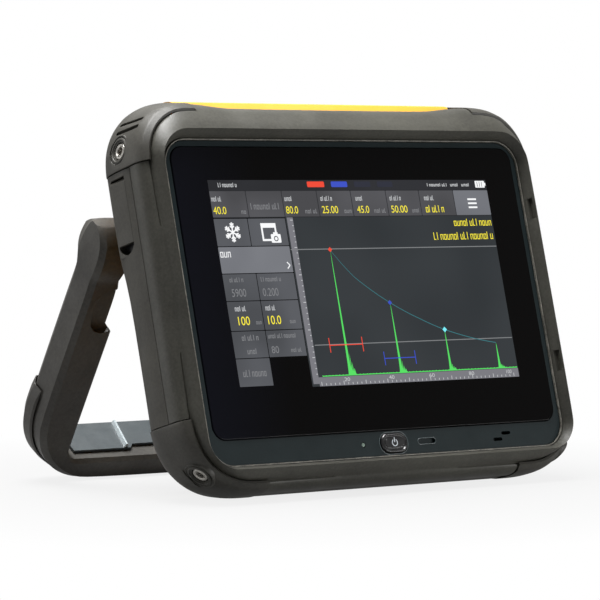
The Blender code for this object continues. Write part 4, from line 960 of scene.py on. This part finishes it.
def insert_seat(corner):
    """The middle of a threaded insert, the way it faces and how far its face is from the middle."""
    outward = Vector(mounts["insert_" + corner]["axis"])
    vertices = frame["nodes"]["thread_insert_" + corner].data.vertices
    centre = sum((vertex.co for vertex in vertices), Vector()) / len(vertices)
    rise = max(outward.dot(vertex.co - centre) for vertex in vertices)
    return centre, outward, rise


rings = []
for turn in range(thread_turns):
    bpy.ops.mesh.primitive_torus_add(
        major_radius=1.95 * mm, minor_radius=0.16 * mm, major_segments=32, minor_segments=8,
        location=(0, 0, (turn - (thread_turns - 1) / 2) * thread_spacing),
    )
    rings.append(bpy.context.object)
thread = join(rings, "thread_rings")
settle(thread)
for corner in corners:
    centre, outward, rise = insert_seat(corner)
    facing = outward.to_track_quat("Z", "Y").to_matrix().to_4x4()
    copied = placed_copy(thread, "thread_" + corner, Matrix.Translation(centre) @ facing)
    dress(copied, steel, "case")
print("thread faces:", len(thread.data.polygons))
bpy.data.objects.remove(thread)

# %% [markdown]
# ## Collars round the inserts
#
# Round each insert the guard is moulded as a shallow dish with a raised collar in it, so that two rings of
# light show round dark grooves. Each ring's profile is spun once and copied to the four corners.

# %% Collars and dish rims
collar_profile = [(-0.4, 4.4), (0.5, 4.5), (0.7, 4.65), (0.78, 4.9), (0.7, 5.2), (0.45, 5.55), (-0.6, 5.8)]
dish_rim_profile = [(-1.5, 6.2), (0.4, 6.25), (0.58, 6.45), (0.5, 6.75), (0.2, 6.95), (-1.5, 7.1)]
for profile, ring_name in [(collar_profile, "collar"), (dish_rim_profile, "dish_rim")]:
    ring = spun(profile, ring_name, steps=48)
    for corner in corners:
        centre, outward, rise = insert_seat(corner)
        facing = outward.to_track_quat("X", "Z").to_matrix().to_4x4()
        place = Matrix.Translation(centre + outward * rise) @ facing
        copied = placed_copy(ring, f"{ring_name}_{corner}", place)
        dress(copied, guard_rubber, "case")
    print(ring_name, "faces:", len(ring.data.polygons))
    bpy.data.objects.remove(ring)

# %% [markdown]
# ## The inside
#
# The boards, the chassis and the battery stay as the CAD made them. They sit inside the closed case, and
# only a glimpse of them shows through an opening, so they get materials and nothing else.

# %% Materials for the inner nodes
inner = {
    "chassis_plate": cast_metal,
    "display_module": cast_metal,
    "pulser_can": cast_metal,
    "main_board": board_green,
    "pulser_board": board_green,
    "battery_tray": black_plastic,
    "battery_pack": cover_black,
    "button_switch": black_plastic,
    "speaker": black_plastic,
}
inner.update({f"board_standoff_{number}": steel for number in range(1, 5)})
for node, material in inner.items():
    frame["nodes"][node].data.materials.clear()
    frame["nodes"][node].data.materials.append(material)
print("inner nodes:", len(inner))

# %% [markdown]
# ## The picture on the display
#
# The display is lit, so its picture is the brightest thing on the front. On the real device it is a
# liquid crystal panel right under the glass. It could be an image, but an image holds somebody's pixels
# and can't be edited. Here it is drawn as a modeller would cut it from film: flat tiles a few hundredths
# of a millimetre above the glass, each layer of one glowing colour. Words are rows of letter-like strokes
# that spell nothing, and the readings are round numbers.
#
# The drawing is flat, x to the right and y up in millimetres from the middle of the display, and the
# whole of it is laid on the glass by one matrix.

# %% Lit colours
def lit(name, colour, glow=1.0):
    """A colour of the display: it glows by itself and still shines like the glass over it."""
    material = bpy.data.materials.new(name)
    material.use_nodes = True
    shader = material.node_tree.nodes["Principled BSDF"]
    shader.inputs["Base Color"].default_value = linear(4, 4, 5)
    shader.inputs["Roughness"].default_value = 0.12
    shader.inputs["Specular IOR Level"].default_value = 0.2
    shader.inputs["Emission Color"].default_value = colour
    shader.inputs["Emission Strength"].default_value = glow
    return material


def lit_with_cells(name, low, high, cell):
    """A lit colour that changes a little from place to place, as a backlight does."""
    material = lit(name, high)
    tree = material.node_tree
    place = tree.nodes.new("ShaderNodeTexCoord")
    patches = noise(tree, place, cell, detail=1.0)
    ramp = colour_ramp(tree, 0.35, low, 0.65, high)
    tree.links.new(patches.outputs["Fac"], ramp.inputs["Fac"])
    tree.links.new(ramp.outputs["Color"], tree.nodes["Principled BSDF"].inputs["Emission Color"])
    return material


status_grey = lit_with_cells("lit_status", linear(38, 39, 42), linear(45, 46, 50), 40 * mm)
field_grey = lit_with_cells("lit_field", linear(46, 50, 53), linear(53, 57, 60), 45 * mm)
cell_grey = lit_with_cells("lit_cell", linear(72, 72, 75), linear(88, 88, 92), 30 * mm)
menu_grey = lit_with_cells("lit_menu", linear(74, 76, 80), linear(90, 92, 97), 30 * mm)
chosen_grey = lit_with_cells("lit_chosen", linear(108, 110, 116), linear(122, 124, 130), 30 * mm)
gap_grey = lit("lit_gap", linear(40, 41, 44))
dim_text = lit("lit_dim_text", linear(128, 129, 132))
label_text = lit("lit_label", linear(200, 202, 204))
bright_text = lit("lit_bright", linear(240, 241, 242), 1.1)
reading_yellow = lit("lit_yellow", linear(247, 232, 60), 1.1)
line_grey = lit("lit_line", linear(128, 130, 132))
ruler_grey = lit("lit_ruler", linear(122, 122, 128))
echo_green = lit("lit_green", linear(84, 216, 96), 1.1)
curve_teal = lit("lit_teal", linear(58, 120, 128))
signal_red = lit("lit_red", linear(232, 72, 52), 1.1)
signal_blue = lit("lit_blue", linear(58, 78, 190), 1.1)
signal_cyan = lit("lit_cyan", linear(120, 230, 240), 1.1)
faint_blue = lit("lit_faint_blue", linear(46, 48, 60))

# %% [markdown]
# ## Tiles, numbers and strokes
#
# The whole picture is cut from three kinds of shape: a flat tile, a number and a row of letter-like
# strokes. Each lies on one of seven levels, three hundredths of a millimetre apart, so that it covers what
# lies on the levels under it.

# %% Levels and tiles
layer = 0.03 * mm
ground_level, cell_level, line_level, text_level, over_level, gate_level, mark_level = range(1, 8)


def tile(left, bottom, right, top, level, corner=0.0):
    """A flat rectangle of the drawing, in millimetres, with its corners rounded if asked."""
    centre = ((left + right) / 2 * mm, (bottom + top) / 2 * mm, level * layer)
    bpy.ops.mesh.primitive_plane_add(size=1.0, location=centre)
    piece = bpy.context.object
    piece.scale = ((right - left) * mm, (top - bottom) * mm, 1.0)
    bpy.ops.object.transform_apply(location=False, rotation=False, scale=True)
    if corner:
        edit_all(piece)
        bpy.ops.mesh.bevel(offset=corner * mm, segments=4, affect="VERTICES")
        leave_edit()
    return piece


def lay_on_glass(pieces, name, material):
    """Joins the pieces of one colour and lays them on the glass."""
    piece = join(pieces, name)
    settle(piece, screen)
    dress(piece, material, "case")
    print(name, "faces:", len(piece.data.polygons))


# %% Numbers
def number(text, left, bottom, right, top, level=text_level):
    """A number set to fill a box of the drawing."""
    bpy.ops.object.text_add(location=(0, 0, 0))
    written = bpy.context.object
    written.data.body = text
    select_only(written)
    bpy.ops.object.convert(target="MESH")
    piece = bpy.context.object
    xs = [vertex.co.x for vertex in piece.data.vertices]
    ys = [vertex.co.y for vertex in piece.data.vertices]
    across = (right - left) * mm / (max(xs) - min(xs))
    upward = (top - bottom) * mm / (max(ys) - min(ys))
    piece.scale = (across, upward, 1.0)
    piece.location = (left * mm - min(xs) * across, bottom * mm - min(ys) * upward, level * layer)
    bpy.ops.object.transform_apply(location=True, rotation=False, scale=True)
    return piece


# %% Strokes in place of words
letter_shapes = ["hook", "stem", "arch", "loop", "cup", "arch", "loop", "stem", "cup"]


def strokes(left, bottom, right, top, pitch=1.15):
    """A word's place: a row of stems, arches, cups and loops that spell nothing."""
    pieces = []
    count = max(2, round((right - left) / pitch))
    step = (right - left) / count
    for place_in_word in range(count):
        shape = letter_shapes[(place_in_word + count) % len(letter_shapes)]
        start = left + place_in_word * step
        end = start + 0.78 * step
        waist = bottom + 0.74 * (top - bottom)
        bar = min(0.24 * step, 0.36)
        tall = shape in ("hook", "stem")
        pieces.append(tile(start, bottom, start + bar, top if tall else waist, text_level))
        if shape == "stem":
            continue
        if shape != "hook":
            pieces.append(tile(end - bar, bottom, end, waist, text_level))
        if shape in ("arch", "loop"):
            pieces.append(tile(start + bar, waist - bar, end - bar, waist, text_level))
        if shape in ("cup", "loop", "hook"):
            pieces.append(tile(start + bar, bottom, end - bar, bottom + bar, text_level))
    return pieces


def words(*boxes):
    """Strokes for several boxes: left, bottom, right, top and, if the letters are wide, their pitch."""
    return [piece for box in boxes for piece in strokes(*box)]


# %% [markdown]
# ## Backgrounds
#
# The picture has four parts: a status row along the top, a row of readings under it, the menu column on
# the left and the graph. Their edges are the driving sizes of the drawing.

# %% Backgrounds
picture_side, picture_end = 77.0, 45.1
status_base, cell_base = 40.6, 28.6
menu_side, menu_middle = -39.1, -59.2
menu_rows = [28.6, 16.4, 4.7, -7.1, -19.9, -31.6, -43.7]
cell_edges = [-77.0, -58.0, -38.9, -20.0, -1.3, 18.3, 37.1, 56.9, 77.0]
ruler_inner, ruler_base = -35.2, -41.2
seam = 0.35
cell_corner, menu_corner = 0.3, 0.25

for left, bottom, right, top, name, colour in [
    (-picture_side, status_base, picture_side, picture_end, "screen_status", status_grey),
    (-picture_side, cell_base, picture_side, status_base, "screen_gap", gap_grey),
    (menu_side, -picture_end, picture_side, cell_base, "screen_field", field_grey),
]:
    lay_on_glass([tile(left, bottom, right, top, ground_level)], name, colour)

# %% Cells of the readings
cells = [
    tile(left, cell_base + seam, right - seam, status_base - seam, cell_level, cell_corner)
    for left, right in zip(cell_edges[:-2], cell_edges[1:-1])
]
lay_on_glass(cells, "screen_cells", cell_grey)
menu_key = tile(cell_edges[-2], cell_base + seam, picture_side, status_base - seam, cell_level, cell_corner)
lay_on_glass([menu_key], "screen_menu_key", chosen_grey)

# %% Cells of the menu
menu_cells = []
for top, bottom in zip(menu_rows[:-1], menu_rows[1:]):
    columns = [(-picture_side, menu_middle), (menu_middle, menu_side)]
    if bottom == menu_rows[2]:
        columns = []
    if bottom == menu_rows[-1]:
        columns = columns[:1]
    for left, right in columns:
        menu_cells.append(tile(left, bottom, right - seam, top - seam, cell_level, menu_corner))
lay_on_glass(menu_cells, "screen_menu_cells", menu_grey)
chosen = tile(-picture_side, menu_rows[2], menu_side - seam, menu_rows[1] - seam, cell_level, menu_corner)
lay_on_glass([chosen], "screen_menu_chosen", chosen_grey)

# %% [markdown]
# ## Readings
#
# The readings are yellow figures with a pale name above and a dim unit beside them. Each figure is a text
# object that is converted to a mesh and scaled to its box.

# %% Readings
figure_low, figure_high = 30.3, 33.5
label_low, label_high = 35.8, 38.0
figures = [
    ("40.0", -76.4, -69.7), ("80.0", -38.0, -31.6), ("25.00", -18.5, -9.8), ("45.0", 0.8, 7.4),
    ("50.00", 19.9, 29.0),
]
readings = [number(text, left, figure_low, right, figure_high) for text, left, right in figures]
readings += words((39.5, figure_low, 50.3, figure_high, 1.7))
lay_on_glass(readings, "screen_readings", reading_yellow)

# %% Names and units
label_spans = [(-76.5, -71.0), (-38.0, -33.4), (-18.5, -12.0), (0.8, 5.2), (19.9, 26.4), (39.5, 45.4)]
labels = words(*[(left, label_low, right, label_high) for left, right in label_spans])
labels += words(
    (-72.0, 42.0, -62.0, 43.9), (42.5, 42.1, 54.7, 43.6, 1.2), (55.9, 42.1, 61.2, 43.6, 1.2),
    (62.4, 42.1, 67.7, 43.6, 1.2),
)
lay_on_glass(labels, "screen_labels", label_text)

unit_high = figure_low + 2.0
unit_spans = [(-61.9, -59.2), (-27.8, -20.8), (-6.4, -2.2), (10.2, 17.2), (31.6, 36.2)]
units = words(*[(left, figure_low, right, unit_high, 1.3) for left, right in unit_spans])
units += words((-56.6, 32.2, -40.4, 35.0, 1.7))
lay_on_glass(units, "screen_units", dim_text)

# %% Tabs of the status row
tab_low, tab_high, tab_corner = 41.9, 44.4, 0.5
for name, colour, spans in [
    ("screen_red_tab", signal_red, [(-24.5, -15.2)]),
    ("screen_blue_tab", signal_blue, [(-11.4, -2.5)]),
    ("screen_dim_tabs", faint_blue, [(1.3, 10.4), (14.2, 22.8)]),
]:
    tabs = [tile(left, tab_low, right, tab_high, text_level, tab_corner) for left, right in spans]
    lay_on_glass(tabs, name, colour)

# %% [markdown]
# ## Icons
#
# The icons are built from tiles too. The snowflake is one arm with two pairs of twigs, drawn six times
# round its centre. The battery, the menu key and the picture key are a few bars each.

# %% Turned tiles and outlines
def turned_tile(left, bottom, right, top, level, turn, pivot, corner=0.0):
    """A tile turned about a point of the drawing."""
    piece = tile(left, bottom, right, top, level, corner)
    centre = Vector((pivot[0] * mm, pivot[1] * mm, 0.0))
    swing = Matrix.Translation(centre) @ Matrix.Rotation(turn, 4, "Z") @ Matrix.Translation(-centre)
    settle(piece, swing)
    return piece


def outline(left, bottom, right, top, bar):
    """A rectangular outline of four bars."""
    return [
        tile(left, bottom, right, bottom + bar, text_level), tile(left, top - bar, right, top, text_level),
        tile(left, bottom, left + bar, top, text_level), tile(right - bar, bottom, right, top, text_level),
    ]


# %% Snowflake
twigs = [(0.42, 0.34), (0.68, 0.3)]


def snowflake(x, y, reach):
    """Six arms round a point, each with two pairs of twigs at shares of its length."""
    bar = reach * 0.15
    pieces = []

    def arm_from(foot, length, turn):
        left, right = foot[0] - bar / 2, foot[0] + bar / 2
        pieces.append(turned_tile(left, foot[1], right, foot[1] + length, text_level, turn, foot, 0.1))

    for arm in range(6):
        turn = arm * pi / 3
        arm_from((x, y), reach, turn)
        for height, length in twigs:
            root = Vector((0.0, height * reach))
            root.rotate(Matrix.Rotation(turn, 2))
            for lean_of_twig in (-pi / 4, pi / 4):
                arm_from((x + root.x, y + root.y), length * reach, turn + lean_of_twig)
    return pieces


# %% Icons
icons = snowflake(-68.1, 22.4, 4.3)
icons += outline(-53.0, 18.4, -45.0, 26.2, 0.9)
for left, bottom, right, top, level, corner in [
    (-53.0, 24.2, -45.0, 26.2, text_level, 0.0),
    (-48.4, 17.6, -43.2, 21.4, over_level, 0.5),
    (-47.0, 21.2, -44.6, 22.2, over_level, 0.2),
    (64.5, 35.75, 69.6, 36.55, text_level, 0.15),
    (64.5, 33.9, 69.6, 34.7, text_level, 0.15),
    (64.5, 32.05, 69.6, 32.85, text_level, 0.15),
    (70.5, 41.5, 76.0, 44.6, text_level, 0.3),
    (76.0, 42.4, 76.6, 43.7, text_level, 0.1),
]:
    icons.append(tile(left, bottom, right, top, level, corner))
icons += words((-76.4, 11.6, -70.6, 14.9, 2.0))
for turn in (pi / 4, 3 * pi / 4):
    icons.append(turned_tile(-40.95, 7.7, -40.45, 9.7, text_level, turn, (-40.7, 7.7), 0.1))
lay_on_glass(icons, "screen_icons", bright_text)

# %% Dark marks inside the icons
lens_radius, lens_bar = 1.2 * mm, 0.45 * mm
bpy.ops.mesh.primitive_circle_add(
    vertices=20, radius=lens_radius, fill_type="NGON", location=(-45.8 * mm, 19.4 * mm, gate_level * layer)
)
lens = bpy.context.object
edit_all(lens)
bpy.ops.mesh.inset(thickness=lens_bar, use_boundary=True)
bpy.ops.mesh.delete(type="FACE")
leave_edit()
holes = [lens]
for gap in range(3):
    holes.append(tile(71.6 + 1.3 * gap, 41.9, 71.9 + 1.3 * gap, 44.2, over_level))
lay_on_glass(holes, "screen_icon_holes", menu_grey)

# %% [markdown]
# ## Menu values
#
# The menu's fields show their names, values and units. Only the row that can be changed is bright.

# %% Menu values
values = [number("100", -72.6, -17.6, -66.6, -13.9), number("10.0", -57.0, -17.6, -50.2, -13.9)]
lay_on_glass(values, "screen_menu_readings", reading_yellow)
names = words((-73.4, -11.6, -67.2, -9.3), (-57.4, -11.6, -51.8, -9.3))
lay_on_glass(names, "screen_menu_labels", label_text)
dim = words((-73.8, 0.9, -66.4, 2.9), (-57.4, 0.9, -46.6, 2.9))
dim += [number("5900", -73.6, -5.4, -66.2, -2.0), number("0.200", -57.4, -5.4, -49.2, -2.0)]
dim += words(
    (-63.4, -17.4, -60.4, -15.6), (-45.6, -17.4, -42.4, -15.6), (-72.2, -24.2, -63.2, -21.8, 1.4),
    (-70.4, -30.0, -64.6, -27.6, 1.4), (-58.4, -23.6, -43.0, -21.6),
)
dim.append(number("80", -57.6, -30.0, -53.8, -27.0))
dim += words((-47.4, -29.8, -41.4, -28.0), (-74.4, -39.6, -62.0, -36.6, 1.6))
lay_on_glass(dim, "screen_menu_dim", dim_text)

# %% [markdown]
# ## The graph
#
# The graph shows echoes along the sound path. The green trace is a flat grid whose upper row of points is
# lifted by a formula: a tall narrow peak for each echo, a tail of smaller ones after it, and a little
# grass in between. The curve over the peaks falls off smoothly, and two gates, red and blue, hang over
# the first two echoes.

# %% Echo trace
trace_left, trace_right, trace_base = -33.0, 76.6, -41.0
trace_steps = 640
echoes = [(-17.8, 13.9), (10.4, -10.2), (38.4, -23.0), (66.7, -29.8)]
tail_steps = ((1.1, 0.17, 0.2), (1.8, 0.1, 0.24), (2.6, 0.05, 0.35))


def echo_height(x):
    """Height of the trace over its base, in millimetres."""
    height = 0.35 + 0.22 * abs(sin(3.1 * x) * sin(1.7 * x + 1.0))
    for place, top in echoes:
        tall = top - trace_base
        height += tall * exp(-(((x - place) / 0.42) ** 2))
        for shift, share, breadth in tail_steps:
            height += tall * share * exp(-(((x - place - shift) / breadth) ** 2))
    return height


def strip(left, right, steps, level):
    """A strip of squares, ready to follow a formula."""
    bpy.ops.mesh.primitive_grid_add(
        x_subdivisions=steps, y_subdivisions=1, size=1.0, location=(0, 0, level * layer)
    )
    piece = bpy.context.object
    piece.scale = ((right - left) * mm, mm, 1.0)
    piece.location.x = (left + right) / 2 * mm
    bpy.ops.object.transform_apply(location=True, rotation=False, scale=True)
    return piece


trace = strip(trace_left, trace_right, trace_steps, over_level)
for vertex in trace.data.vertices:
    lifted = vertex.co.y > 0
    vertex.co.y = (trace_base + (echo_height(vertex.co.x / mm) if lifted else 0.0)) * mm
lay_on_glass([trace], "screen_trace", echo_green)

# %% Falling curve
curve_points = [
    (-18.0, 14.3), (-6.9, 1.8), (10.1, -9.7), (25.4, -17.3), (38.5, -22.6), (54.9, -27.1), (66.7, -29.3),
]
curve_width = 0.35
curve_steps = 120


def curve_height(x):
    """The falling curve, as a smooth line through its own points."""
    for (x0, y0), (x1, y1) in zip(curve_points, curve_points[1:]):
        if x <= x1:
            share = (x - x0) / (x1 - x0)
            return y0 + (y1 - y0) * share - 1.2 * share * (1 - share) * (y0 - y1) / 8
    return curve_points[-1][1]


fall = strip(curve_points[0][0], curve_points[-1][0], curve_steps, text_level)
for vertex in fall.data.vertices:
    edge = curve_width / 2 if vertex.co.y > 0 else -curve_width / 2
    vertex.co.y = (curve_height(vertex.co.x / mm) + edge) * mm
lay_on_glass([fall], "screen_curve", curve_teal)

lines = [tile(-39.0, 14.3, 76.8, 14.7, line_level), tile(-34.5, -27.5, 76.6, -27.1, line_level)]
lay_on_glass(lines, "screen_lines", line_grey)

# %% Gates and markers
def gate(left, right, height, reach, bar=0.4):
    """A level line with an upright tick at each end."""
    return [
        tile(left, height - bar / 2, right, height + bar / 2, gate_level),
        tile(left - bar / 2, height - reach, left + bar / 2, height + reach, gate_level),
        tile(right - bar / 2, height - reach, right + bar / 2, height + reach, gate_level),
    ]


def diamond(x, y, half):
    """A square marker standing on its corner."""
    return turned_tile(x - half, y - half, x + half, y + half, mark_level, pi / 4, (x, y), 0.15)


lay_on_glass(gate(-26.5, -8.6, -27.6, 3.2) + [diamond(-17.9, 14.2, 0.8)], "screen_red_gate", signal_red)
lay_on_glass(gate(2.2, 19.4, -34.3, 3.0) + [diamond(10.2, -9.8, 0.8)], "screen_blue_gate", signal_blue)
lay_on_glass([diamond(38.5, -22.6, 0.9)], "screen_cyan_mark", signal_cyan)

# %% Rulers, ticks and notes
tick_step, tick_start, tick_half_width = 2.4, 1.2, 0.16
ruler_foot, ruler_left = -44.0, -38.4
rulers = [
    tile(ruler_left, ruler_foot, ruler_inner, cell_base, line_level),
    tile(ruler_inner, -picture_end, picture_side, ruler_base, line_level),
]
lay_on_glass(rulers, "screen_rulers", ruler_grey)


def tick_reach(index):
    """Every fifth tick is a long one."""
    return 1.6 if index % 5 == 0 else 0.9


ticks = []
for index in range(29):
    y = cell_base - tick_start - tick_step * index
    left = ruler_inner - tick_reach(index)
    ticks.append(tile(left, y - tick_half_width, ruler_inner - 0.2, y + tick_half_width, over_level))
for index in range(46):
    x = ruler_inner + tick_start + tick_step * index
    foot = -picture_end + 0.3
    ticks.append(tile(x - tick_half_width, foot, x + tick_half_width, foot + tick_reach(index), over_level))
for text, x in [("20", -20.0), ("40", 4.4), ("60", 27.0), ("80", 49.6), ("100", 71.4)]:
    ticks.append(number(text, x - 1.5, -43.4, x + 1.5, -41.8, over_level))
lay_on_glass(ticks, "screen_ticks", label_text)
notes = words((54.3, 24.0, 76.5, 27.2, 1.9), (41.4, 17.8, 76.2, 21.2, 1.9))
lay_on_glass(notes, "screen_notes", reading_yellow)
on_glass = [piece.name for piece in bpy.data.objects if piece.name.startswith("screen_")]
print("pieces on the glass:", len(on_glass))

# %% [markdown]
# ## Close the scene
#
# The box of the dressed model is kept beside the CAD box, and the last line prints how far it reaches
# past the CAD box.

# %% Sizes and the last line
shown_low, shown_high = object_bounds()
growth = [round(max(cad_low[i] - shown_low[i], shown_high[i] - cad_high[i]) / mm, 2) for i in range(3)]
print("growth past the CAD box in mm:", growth)
